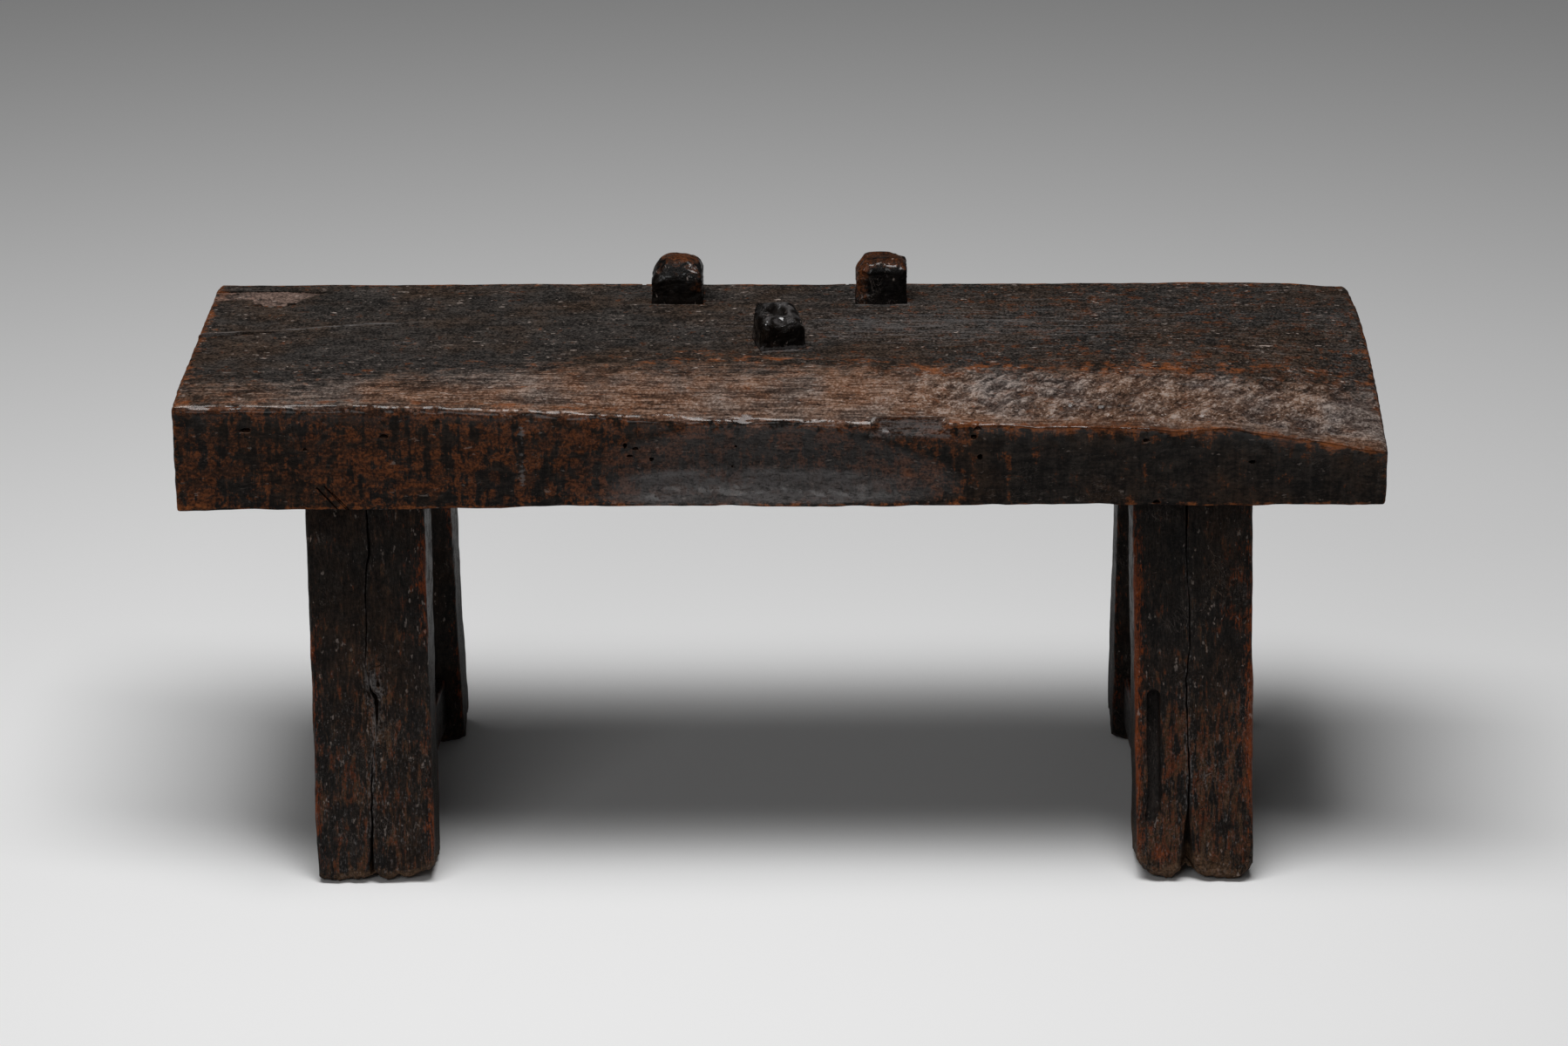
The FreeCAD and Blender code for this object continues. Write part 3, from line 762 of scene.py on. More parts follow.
def slab_relief(p, normals, settings):
    """Fine and broad height of the slab's roughness: raised fibres, torn wood, tool marks and nicks."""
    x, y, z = p.T
    nx, ny, nz = normals.T
    up, down = (smooth_step(facing, 0.3, 0.8) for facing in (nz, -nz))
    front, back, end = (smooth_step(facing, 0.4, 0.8) for facing in (-ny, ny, np.abs(nx)))
    slanted = turned(p, FIBRE_SLANT)
    fibres = layered_field(p, (30, 6, 9), 11) + 0.7 * layered_field(slanted, (22, 6.5, 9), 17)
    fine = mm(settings.fibre_relief) * fibres * up
    across = turned(p, TEAR_SLANT)
    tears = layered_field(across, (13, 5, 6), 29) + 0.8 * layered_field(slanted, (17, 7, 7), 33)
    fine += mm(settings.torn_relief) * torn_share(x, y) * up * (tears - 0.2)
    fine += mm(settings.fibre_relief) * front * layered_field(p, (34, 12, 6), 37)
    broad = 0.7 * layered_field(p, (150, 70, 60), 23, 2) * up
    broad += 0.5 * front * layered_field(p, (90, 40, 30), 41, 2)
    broad += mm(settings.hewn_relief) * (back + down) * layered_field(p, (60, 42, 30), 43)
    broad += 0.35 * end * layered_field(p, (20, 5, 7), 47)
    arris = fade(7, np.abs(y - FRONT), np.abs(TOP - worn_drop(x, y) - z))
    nicks = np.maximum(layered_field(turned(p, 0.5), (8, 14, 12), 53) - 0.15, 0)
    fine -= NICK_DEPTH * arris * nicks * (1 - 0.55 * smooth_step(x, 60, 220))
    lower = fade(8, np.abs(y - FRONT - 4), np.abs(z - UNDERSIDE))
    broad -= LOWER_WEAR * lower * np.maximum(layered_field(p, (22, 14, 14), 59), -0.3)
    crust = bell(z, UNDERSIDE + 13, 11) * bell(x, -20, 130) * np.maximum(front, up)
    fine += 0.8 * crust * layered_field(p, (14, 9, 5), 61)
    fine += SPLIT_RISE * bell(y, split_line(x) + 3, 3) * smooth_step(-x, 220, 420) * up
    knot = from_seat_knot(x, y)
    fine += SEAT_KNOT_RISE * (bell(knot, 13, 4) - bell(knot, 0, 6)) * up
    return fine, broad


def slab_cutters():
    """Prisms for the slab's mortises and for its old breaks, splits, holes and cuts."""
    bm = bmesh.new()
    for place, width, depth, turn, _ in STOPS.values():
        size = (width + 2 * STOP_GAP, depth + 2 * STOP_GAP)
        add_block(bm, (place, size, UNDERSIDE - CLEAR), (place, size, TOP + CLEAR), turn)
    size = (TENON_WIDTH + 2 * JOINT_GAP, TENON_DEPTH + 2 * JOINT_GAP)
    for side in LEG_SIDES.values():
        add_block(bm, *((leg_centre(side, z), size, z) for z in (UNDERSIDE - 5, TENON_TOP + 0.5)))
    add_pit(bm, RECESS_OUTLINE, [TOP - RECESS_RIM - RECESS_DEPTH * (RECESS_BACK - y) / RECESS_REACH
                                 for _, y in RECESS_OUTLINE])
    for place in RECESS_PITS:
        add_block(bm, (place, (4, 4), TOP - 2 * RECESS_DEPTH), (place, (7, 6), TOP), 0.3)
    add_pit(bm, SPLIT_OUTLINE, [TOP - SPLIT_DEPTH] * len(SPLIT_OUTLINE))
    chip = [(x, CHIP_EDGE + z + CHIP_RIPPLE * math.sin(x)) for x, z in CHIP_OUTLINE]
    add_prism(bm, *([(x, FRONT + y, z + CHIP_SLOPE * y) for x, z in chip] for y in (-CLEAR, CHIP_DEPTH)))
    for i, (x, z, half_width, half_height) in enumerate(HOLES):
        ring = [(math.cos(a + i) * (1 + 0.25 * math.sin(3 * a + i)), math.sin(a + i))
                for a in np.linspace(0, 2 * math.pi, HOLE_SIDES, endpoint=False)]
        add_prism(bm, *([(x + grow * half_width * u, FRONT + y, z + grow * half_height * v) for u, v in ring]
                        for y, grow in HOLE_RINGS))
    for ends in KNIFE_CUTS:
        start, stop, wide = cut_line(*ends, KNIFE_WIDTH)
        corners = ((start, -1), (stop, -1), (stop, 1), (start, 1))
        rings = []
        for y, grow in KNIFE_RINGS:
            ring = [end + wide * side * grow for end, side in corners]
            rings.append([(v.x, FRONT + y, v.y) for v in ring])
        add_prism(bm, *rings)
    for x, width in BACK_NICKS:
        add_block(bm, ((x, BACK), (0.25 * width, 2 * BACK_NICK_DEPTH), TOP - BACK_NICK_DEPTH),
                  ((x, BACK), (1.5 * width, 4 * BACK_NICK_DEPTH), TOP + BACK_NICK_DEPTH))
    y, width, depth = END_NICK
    add_block(bm, ((-HALF_LENGTH, y), (depth, 0.5 * width), TOP - depth),
              ((-HALF_LENGTH, y), (4 * depth, 2 * width), TOP + depth))
    return bm


def slab_masks(p, normals, settings):
    """Where the slab is worn, rubbed, polished, left as raw wood or filmed with old wax, and where sheen and
    highlights are painted.
    """
    x, y, z = p.T
    nx, ny, nz = normals.T
    up, front, back = (smooth_step(facing, 0.35, 0.75) for facing in (nz, -ny, ny))
    front = front * (y < FRONT + 40)
    end = smooth_step(np.abs(nx), 0.4, 0.8)
    seat = up * smooth_step(z, UNDERSIDE + 40, UNDERSIDE + 46)
    scooped = scoop_hollow(x, z, mm(settings.scoop_depth))
    hollow = scooped * np.maximum(front, up) * (y < FRONT + 30)
    from_top = np.abs(TOP - worn_drop(x, y) - z)
    from_front = np.abs(y - FRONT - scooped)
    from_back = BACK - y
    from_end = HALF_LENGTH - np.abs(x)
    knot = from_seat_knot(x, y)
    to_right = smooth_step(x, -200, 300)
    torn = torn_share(x, y) * seat

    # Worn band and rubbed edges
    wobble = 14 * random_field(p, (70, 30, 60), 71) + 9 * layered_field(p, (24, 9, 30), 73)
    line = curve_through(BAND_PLACES, BAND_LINE, x)
    worn = smooth_step(line + 36 + wobble - y, 0, 88) * seat * np.interp(x, BAND_PLACES, BAND_STRENGTH)
    glow = bell(y + wobble, line + 8, 15) * seat
    arris = fade(6.5, from_front, from_top)
    edge = np.maximum.reduce((
        arris * strength("arris", x),
        0.62 * fade(4, from_front, np.abs(z - UNDERSIDE)),
        0.7 * fade(6, from_end, from_front),
        np.where(x < 0, 0.7, 0.62) * fade(np.where(x < 0, 12, 10), from_end, from_top),
        0.44 * bell(y, FRONT + 10, 7) * seat * (1 - smooth_step(x, -160, -40)),
        0.9 * fade(10, from_back, from_top),
        0.5 * fade(6, from_back, from_end),
        worn * strength("band", x),
        glow * strength("glow", x),
        0.42 * front * bell(x, 112, 34) * bell(z, UNDERSIDE + 24, 22),
        0.4 * bell(knot, 10, 6) * seat))

    # Red stain
    stain = front * (strength("stain", x) - 0.3 * bell(x, 166, 8) + 0.07 * smooth_step(hollow, 1, 5)
                     + bell(from_top, 5, 5) * (0.22 + 0.08 * smooth_step(x, 0, 200)))
    stain += seat * (0.07 + 0.23 * to_right + 0.14 * smooth_step(line + 50 - y, 0, 50))
    stain += 0.4 * back + 0.35 * end

    # Bare wood of the breaks, and a paler rim along the front arris that is partly bare wood and partly a
    # painted highlight
    in_recess = ((x < RECESS_RIGHT) & (y > RECESS_FRONT) & (y < RECESS_BACK + 1)
                 & (z < TOP - 0.8) & (z > TOP - RECESS_DEPTH - 1.9))
    chip_middle = CHIP_EDGE - CHIP_DROP + CHIP_SLOPE * (y - FRONT)
    in_chip = ((np.abs(x - CHIP_X) < CHIP_HALF_LENGTH) & (y < FRONT + CHIP_DEPTH + 1)
               & (np.abs(z - chip_middle) < 4))
    bare = np.where(in_recess & (nz > 0.5), 0.46 + 0.38 * bell(x, -448, 20), 0)
    # Painted highlight along the rounded front arris, mixed with worn bare wood
    bare += 0.52 * arris * (1 - smooth_step(x, 60, 180))

    # Old wax and dust, with painted sheen on the hollow and its lip and a painted highlight along the split
    film = seat * (0.08 + 0.18 * to_right + 0.3 * bell(x, 110, 160) * bell(y, 40, 50)
                   + 0.3 * bell(knot, 6, 7))
    for name, (place, width, depth, _, _) in STOPS.items():
        ahead = smooth_step(place[1] - y, depth / 2 - 4, depth / 2 + 2) * (x > place[0] - width / 3)
        film += (0.25 + 0.9 * ahead * (name == DISHED_STOP)) * fade(3.5, from_stop(p, name)) * seat
    below = smooth_step(7 - above_scoop_line(x, z), 0, 9)
    lip = smooth_step(hollow, 0.6, 2.6) * below * strength("lip", x)
    sheen_breakup = 0.6 + 0.4 * layered_field(p, (22, 9, 7), 83)
    # Painted sheen: smooth grey on the hollow's slope and, broken up, on its upward-facing lip
    veil = 0.4 * smooth_step(hollow, 1, 4) * strength("veil", x)
    veil += sheen_breakup * lip * smooth_step(z, UNDERSIDE, UNDERSIDE + 5)
    # Grey on the lip is partly crust and partly painted sheen; grey in the splinter's break is torn wood
    film += 0.26 * lip + 0.5 * in_chip * np.maximum(front, up)
    broken = smooth_step(layered_field(p, (34, 20, 20), 91), -0.7, 0.3)
    # Pale line along the raised back edge of the split: painted highlight
    along_split = bell(y, split_line(x) + 3.6, 1.9) * smooth_step(-x, 280, 350)
    film += broken * along_split * seat * (from_top < 3)
    drip = bell(x, DRIP_X, 1.3) * smooth_step(z, *DRIP_LOW) * (1 - smooth_step(z, *DRIP_HIGH))
    film += 0.9 * front * drip * smooth_step(random_field(p, (9, 9, 5), 79), -0.35, 0.2)

    polish = 0.45 * in_recess + arris * (1 - 0.3 * smooth_step(x, 100, 250)) + 0.5 * lip + 0.4 * torn
    fine, _ = slab_relief(p, normals, settings)
    return {"worn": worn, "rubbed": edge, "stain": stain, "bare": bare, "film": film, "polish": polish,
            "upright": 1 - seat, "raised": 0.5 + 0.5 * fine, "torn": torn, "veil": veil}


def leg_centre(side, height):
    """Middle of a leg at a height."""
    shift, lean, _, _ = LEG_ROWS[side[1]]
    x = side[0] * LEG_CENTRE_X + shift + lean * (1 - height / UNDERSIDE)
    y = side[1] * (SHOULDER_CENTRE_Y + (UNDERSIDE - height) * LEG_SPLAY)
    return x, y


def leg_taper(side, height):
    """Width of a leg at a height, as a share of its width at the top."""
    _, _, top, foot = LEG_ROWS[side[1]]
    return (foot + (top - foot) * np.clip(height / UNDERSIDE, 0, 1)) / top


def from_leg_knot(u, h, knot):
    """Distance from a knot in a leg, in radii, stretched up the grain."""
    place, height, radius, _ = knot
    return np.hypot(u - place, (h - height) * 0.5) / radius


def shape_leg_block(name, side, seed, settings):
    """Upright plank leg, cracked and with a worn foot: u across, v from the outer face inwards, h up."""
    half = LEG_ROWS[side[1]][2] / 2
    deep = LEG_DEPTH / 2
    middle = float(np.mean([row[1] for row in LEG_CRACKS[name]]))
    fineness = 1.45 if side[1] < 0 else 1
    rows = graded_lines(0, UNDERSIDE, int(132 * fineness), ((0, 2.5, 14), (160, 1, 30)))
    bm, p, steps = grid_block((
        graded_lines(-half, half, int(66 * fineness), ((-half, 3, 4), (half, 3, 4), (middle, 6, 4))),
        graded_lines(-deep, deep, 26, ((-deep, 2.5, 4), (deep, 2.5, 4))),
        np.concatenate((rows, np.linspace(UNDERSIDE, TENON_TOP, 5)))))
    body = steps[:, 2] < len(rows)
    radius = mm(settings.edge_round) * (1 + 0.45 * random_field(p, (300, 300, 22), seed))
    for su, sv in itertools.product((-1, 1), repeat=2):
        round_edge(p, (0, 1), (su * half, sv * deep), (su, sv), radius)
    u, v, h = p.T.copy()
    place, wide, depth = look_up(LEG_CRACKS[name], h)
    u = u + (place - middle) * bell(u, middle, 16)
    wander = random_field(p * (0, 0, 1), (1, 1, 9), seed + 1) * 0.45
    groove = np.clip(1 - np.abs(u - place - wander) / np.maximum(wide, 0.3), 0, 1)
    inwards = depth * np.sqrt(groove)
    lumps = layered_field(p, (4.5, 8, 8), seed + 2)
    for knot in LEG_KNOTS[name]:
        far = from_leg_knot(u, h, knot)
        inwards += knot[3] * (bell(far, 0, 0.8) * (0.6 + 1.1 * lumps) - 0.35 * bell(far, 1.25, 0.35))
    decayed = smooth_step(46 - h, 0, 30) * (2.4 if name == SLOTTED_LEG else 1.2)
    inwards += decayed * np.maximum(layered_field(p, (9, 9, 11), seed + 11), -0.2)
    v = v + np.where(body, smooth_step(-v, deep - 5, deep - 1) * inwards, 0)
    ragged = look_up(FOOT_OUTLINES[name], u)[0] + 2.6 * layered_field(p, (8, 8, 9), seed + 5)
    round_off = 6 * smooth_step(np.abs(v), deep - 9, deep) ** 2
    through = 1 - 0.6 * smooth_step(v, -deep * 0.3, deep * 0.8)
    lift = np.maximum(ragged, 0) * through + round_off
    h = h + np.where(body, lift * np.clip(1 - h / 55, 0, 1) ** 2, 0)
    u = np.where(body, u, u / half * TENON_WIDTH / 2)
    v = np.where(body, v, v / deep * TENON_DEPTH / 2)
    return bm, np.stack((u, v, h), axis=1), body


def place_leg(bm, p, side, body, seed, settings):
    """Plank points set in the splayed, tapered leg's place, with the leg's uneven, weathered faces."""
    u, v, h = p.T
    x, y = leg_centre(side, h)
    placed = np.stack((x + u * np.where(body, leg_taper(side, h), 1), y - side[1] * v, h), axis=1)
    relief = mm(settings.unevenness) * layered_field(placed, (34, 34, 70), seed + 6)
    relief += mm(settings.relief) * layered_field(placed, LEG_GRAIN, seed + 9)
    relief = np.where(body, relief * smooth_step(UNDERSIDE - placed[:, 2], 0, 6), 0)
    placed = move_along_normals(bm, placed, relief)
    placed[:, 2] = np.maximum(placed[:, 2], 0)
    return placed


def leg_cutters(name, side):
    """Prisms for a leg's wedge kerf, its stretcher mortise, its scratches and the old slot of one leg."""
    bm = bmesh.new()
    tip = TENON_TOP - WEDGE_LENGTH - JOINT_GAP
    high = TENON_TOP + 3
    grow = (WEDGE_THICK - WEDGE_THIN) / WEDGE_LENGTH
    add_block(bm, (leg_centre(side, tip), (WEDGE_THIN + 2 * JOINT_GAP, TENON_DEPTH + 6), tip),
              (leg_centre(side, high), (WEDGE_THICK + 2 * JOINT_GAP + 3 * grow, TENON_DEPTH + 6), high))
    middle = STRETCHER_LOW + STRETCHER_HEIGHT / 2
    half = STRETCHER_TENON_THICKNESS / 2 + JOINT_GAP
    rings = []
    for up in (-1, 1):
        z = middle + up * (STRETCHER_TENON_HEIGHT / 2 + JOINT_GAP)
        inner = leg_centre(side, z)[1] - side[1] * LEG_DEPTH / 2
        near, far = inner - side[1] * 12, inner + side[1] * (STRETCHER_TENON_LENGTH + 0.5)
        rings.append([(stretcher_x(side[0], y) + s * half, y, z)
                      for s, y in ((-1, near), (1, near), (1, far), (-1, far))])
    add_prism(bm, *rings)

    def on_face(u, z, depth):
        x, y = leg_centre(side, z)
        return x + u, y - LEG_DEPTH / 2 + depth, z

    if name == SLOTTED_LEG:
        radius = SLOT_WIDTH / 2
        outline = [(radius * math.cos(a), SLOT_HIGH - radius + radius * math.sin(a))
                   for a in np.linspace(0, math.pi, 9)]
        outline += SLOT_LOWER_OUTLINE
        floor = [SLOT_DEPTH * np.interp(z, *SLOT_RUN_OUT) for _, z in outline]
        add_prism(bm, [on_face(SLOT_PLACE + 1.1 * u, z, -8) for u, z in outline],
                  [on_face(SLOT_PLACE + 0.8 * u, z, depth) for (u, z), depth in zip(outline, floor)])
    for *ends, width in LEG_SCRATCHES.get(name, ()):
        start, stop, wide = cut_line(*ends, width)
        centre = (start + stop) / 2
        ring = (start, centre - wide, stop, centre + wide)
        add_prism(bm, *([on_face(*(centre + (corner - centre) * grow), depth) for corner in ring]
                        for depth, grow in SCRATCH_RINGS))
    return bm


def from_segment(u, z, u0, z0, u1, z1):
    """Distance from a straight line between two points."""
    du, dz = u1 - u0, z1 - z0
    t = np.clip(((u - u0) * du + (z - z0) * dz) / (du ** 2 + dz ** 2), 0, 1)
    return np.hypot(u - u0 - t * du, z - z0 - t * dz)


def leg_masks(p, normals, name, side, seed):
    """Where a leg is rubbed to red wood along its edges, raw at the foot and filmed with old wax, with
    painted sheen on its side faces and painted light on its lower front and in the slot.
    """
    x, y, z = p.T
    cx, cy = leg_centre(side, z)
    u = (x - cx) / leg_taper(side, z)
    v = (cy - y) * side[1]
    deep = LEG_DEPTH / 2
    slotted = name == SLOTTED_LEG
    outer = smooth_step(-v, deep - 6, deep - 2)
    from_side = np.abs(LEG_ROWS[side[1]][2] / 2 - np.abs(u))
    from_face = np.abs(deep - np.abs(v))
    place, wide, _ = look_up(LEG_CRACKS[name], z)
    left, right = look_up(EDGE_WEAR[name], z)
    edge = fade(7, from_side, from_face) * np.where(v < 0, np.where(u < 0, left, right), 0.45)
    above = z - look_up(FOOT_OUTLINES[name], u)[0] - 5 * layered_field(p, (8, 8, 7), seed + 3)
    foot = 1 - smooth_step(above, 2, 34 if slotted else 14)
    bare = 0.8 * foot * (1 - 0.4 * smooth_step(from_side, 20, 6))
    lower = smooth_step(UNDERSIDE - z, 90, 250)
    stain = 0.12 + (0.25 if slotted else 0.19) * lower - 0.3 * (1 - outer)
    stain += 0.08 * bell(np.abs(u - place), 14, 12) * outer * lower
    in_slot = np.zeros_like(x)
    if slotted:
        inside = (z > SLOT_LOW - 2) & (z < SLOT_HIGH + 2) & (v > 1.5 - deep)
        in_slot[(np.abs(u - SLOT_PLACE) < 11) & inside] = 1
        reddened = 0.08 + 0.12 * bell(u, -20, 8) + 0.1 * bell(u, 8, 7)
        stain += outer * reddened * smooth_step(-z, -190, -120) - 0.8 * in_slot
        edge = np.maximum(edge, 0.6 * outer * bell(u, -31, 9) * bell(z, 23, 9))
    if name == "front_left":
        bare = np.maximum(bare, 0.62 * outer * bell(np.hypot(u - 6, (z - 136) * 0.4), 0, 6))
    side_face = np.clip(np.abs(normals[:, 0]), 0, 1) * (1 - in_slot)
    # The grey that grows towards the foot of the front legs is painted light where the forward-splayed legs
    # catch more light
    film = outer * (0.1 + 0.15 * lower * (side[1] < 0) + 0.18 * bell(u, place, 4) * (wide < 1.2))
    # Grey on the side faces: painted sheen of grazing reflection
    film += 0.12 * side_face * smooth_step(z, 70, 230)
    for knot in LEG_KNOTS[name]:
        far = from_leg_knot(u, z, knot)
        stain += 0.15 * outer * bell(far, 1.2, 0.5)
        film += 0.07 * knot[3] * outer * bell(far, 0.3, 0.6)
        edge = np.maximum(edge, 0.22 * knot[3] * outer * bell(far, 0.9, 0.4) * (u > 20))
    scraped = np.zeros_like(x)
    on_scratch_floor = (np.abs(from_face - SCRATCH_DEPTH) < 0.03) & (v < 0)
    for *ends, width in LEG_SCRATCHES.get(name, ()):
        scraped[(from_segment(u, z, *ends) < width) & on_scratch_floor] = 1
    polish = 0.2 * edge + 0.06 * outer + 0.36 * side_face * smooth_step(z, 90, 260)
    fine = layered_field(p, LEG_GRAIN, seed + 9)
    # Smooth grey in the slot: painted light that lifts the slot's shade
    return {"worn": 0.95 * scraped, "rubbed": edge, "stain": stain, "bare": bare, "film": film,
            "polish": polish, "raised": 0.5 + 0.4 * fine, "torn": scraped, "veil": 0.26 * in_slot}


def stretcher_x(side_x, y):
    """Middle of a stretcher at a depth."""
    flush = LEG_CENTRE_X - LEG_ROWS[-1][3] / 2 + STRETCHER_THICKNESS / 2
    inset = (STRETCHER_FRONT_INSET + STRETCHER_BACK_INSET) / 2
    skew = (STRETCHER_BACK_INSET - STRETCHER_FRONT_INSET) / (2 * SHOULDER_CENTRE_Y)
    return side_x * (flush + inset + skew * y)


def shape_stretcher(side_x, seed, settings):
    """Low rail with slightly hewn faces and a stub tenon at each end."""
    half = STRETCHER_THICKNESS / 2
    low, high = STRETCHER_LOW, STRETCHER_LOW + STRETCHER_HEIGHT
    tenon_rows = 4
    rows = np.concatenate((np.linspace(-2, -1, tenon_rows), graded_lines(-1, 1, 80, ()),
                           np.linspace(1, 2, tenon_rows)))
    bm, p, steps = grid_block((graded_lines(-half, half, 14, ((-half, 2, 3), (half, 2, 3))), rows,
                               graded_lines(low, high, 24, ((low, 2, 4), (high, 2, 4)))))
    body = (steps[:, 1] >= tenon_rows) & (steps[:, 1] < len(rows) - tenon_rows)
    for su, (edge, out) in itertools.product((-1, 1), ((low, -1), (high, 1))):
        round_edge(p, (0, 2), (su * half, edge), (su, out), LOWER_ROUND)
    middle = (low + high) / 2
    u, t, z = p.T
    u = np.where(body, u, u / half * STRETCHER_TENON_THICKNESS / 2)
    z = np.where(body, z, middle + (z - middle) / STRETCHER_HEIGHT * STRETCHER_TENON_HEIGHT)
    face = SHOULDER_CENTRE_Y + (UNDERSIDE - z) * LEG_SPLAY - LEG_DEPTH / 2
    along = np.abs(t)
    y = np.sign(t) * (np.minimum(along, 1) * face + np.maximum(along - 1, 0) * STRETCHER_TENON_LENGTH)
    q = np.stack((stretcher_x(side_x, y) + u, y, z), axis=1)
    relief = mm(settings.unevenness) * layered_field(q, (30, 55, 22), seed)
    relief += mm(settings.relief) * layered_field(q, (5, 40, 5), seed + 9)
    return bm, move_along_normals(bm, q, relief * smooth_step(1 - along, 0, 0.04))


def stretcher_masks(p, normals):
    """Where a stretcher is rubbed and filmed."""
    x, y, z = p.T
    from_top = np.abs(STRETCHER_HEIGHT / 2 - np.abs(z - STRETCHER_LOW - STRETCHER_HEIGHT / 2))
    from_side = np.abs(STRETCHER_THICKNESS / 2 - np.abs(x - stretcher_x(1, y) * np.sign(x)))
    return {"rubbed": 0.7 * fade(5, from_top, from_side), "stain": 0.16, "polish": 0.25,
            "film": 0.22 + 0.2 * smooth_step(normals[:, 2], 0.4, 0.8)}


def stop_local(p, name):
    """Points seen from a stop's own middle, with its turn taken out."""
    place, _, _, turn, _ = STOPS[name]
    return turned(p - np.array((*place, 0)), -turn)


def from_stop(p, name):
    """Distance from the outline of a stop, seen from above."""
    _, width, depth, _, _ = STOPS[name]
    out = np.maximum(np.abs(stop_local(p, name)[:, :2]) - np.array((width, depth)) / 2, 0)
    return np.hypot(*out.T)


def stop_head(name, a, b, settings):
    """How far the top of a stop lies below its highest point, at a place across it and along it."""
    _, width, depth, _, _ = STOPS[name]

    def fall(distance, radius):
        over = np.clip(1 - distance / radius, 0, 1)
        return radius * (1 - np.sqrt(1 - np.minimum(over, 0.985) ** 2))

    left, right, front, back = STOP_ROUNDS[name]
    across = np.hypot(fall(a + width / 2, left), fall(width / 2 - a, right))
    along = np.hypot(fall(b + depth / 2, front), fall(depth / 2 - b, back))
    rounded = np.hypot(across, along)
    if name == DISHED_STOP:
        slope = 8.5 * (0.5 - b / depth) + 3 * (a / width + 0.5)
        far = np.hypot(a, b - DISH_PLACE) * (1 + 0.2 * np.sin(3 * np.arctan2(b - DISH_PLACE, a) + 0.8))
        return slope + mm(settings.dish_depth) * np.exp(-(far / DISH_RADIUS) ** 4) + rounded
    dome = 2.2 * ((2 * a / width) ** 2 + (2 * b / depth) ** 2)
    return np.minimum(rounded + dome, 30)


def hammer_facets(bm, p, depth, seed):
    """Points of a head flattened by blows, each a flat cut a little below the surface."""
    normals = surface_normals(bm, p)
    draw = np.random.default_rng(seed)
    struck = np.flatnonzero((p[:, 2] > TOP + 18) & (normals[:, 2] > 0.35))
    for i in draw.choice(struck, STOP_BLOWS, replace=False):
        facing = normals[i] + draw.uniform(-0.1, 0.1, 3)
        facing /= np.linalg.norm(facing)
        apart = p - p[i]
        over = np.maximum(apart @ facing + depth * draw.uniform(0.2, 0.8), 0)
        over *= smooth_step(-np.linalg.norm(apart, axis=1), -8, -4)
        over *= smooth_step(p[:, 2], TOP + 4, TOP + 12)
        p = p - over[:, None] * facing
    return p


def shape_stop(name, seed, settings):
    """Square stop with a straight shaft and a worn, hammered head."""
    place, width, depth, turn, rise = STOPS[name]
    low, high = UNDERSIDE - STOP_HANG, TOP + rise
    halves = (width / 2, depth / 2)
    across = [graded_lines(-half, half, 48, ((-half, 2, 4), (half, 2, 4))) for half in halves]
    bm, p, _ = grid_block((*across, graded_lines(low, high, 84, ((high, 9, 16), (low, 2, 4)))))
    head = smooth_step(p[:, 2], TOP + 1, TOP + 12)
    for corner, extra in zip(itertools.product((-1, 1), repeat=2), STOP_CORNERS[name]):
        radius = mm(settings.edge_round) + extra * head
        round_edge(p, (0, 1), tuple(s * half for s, half in zip(corner, halves)), corner, radius)
    for axis, s in itertools.product((0, 1), (-1, 1)):
        round_edge(p, (axis, 2), (s * halves[axis], low), (s, -1), LOWER_ROUND)
    a, b, c = p.T.copy()
    shoulder = TOP + 0.5
    fall = stop_head(name, a, b, settings)
    c = np.where(c > shoulder, shoulder + (c - shoulder) * (rise - 0.5 - fall) / (rise - 0.5), c)
    if name == DISHED_STOP:
        broken = 6 * np.clip((c - TOP - 8) / 22, 0, 1)
        over = np.maximum((-a - b) - (width - math.sqrt(2) * broken), 0) / 2
        a, b = a + over, b + over
    shaped = np.stack((a, b, c), axis=1)
    lumps = layered_field(shaped, (13, 13, 9), seed)
    lumps += 0.5 * layered_field(shaped, (5, 5, 4), seed + 7)
    above = smooth_step(c, TOP + 2, TOP + 9)
    shaped = move_along_normals(bm, shaped, -mm(settings.facets) * np.clip(lumps + 0.35, 0, 1.8) * above)
    shaped = hammer_facets(bm, shaped, mm(settings.facets), seed + 1)
    return bm, turned(shaped, turn) + np.array((*place, 0))


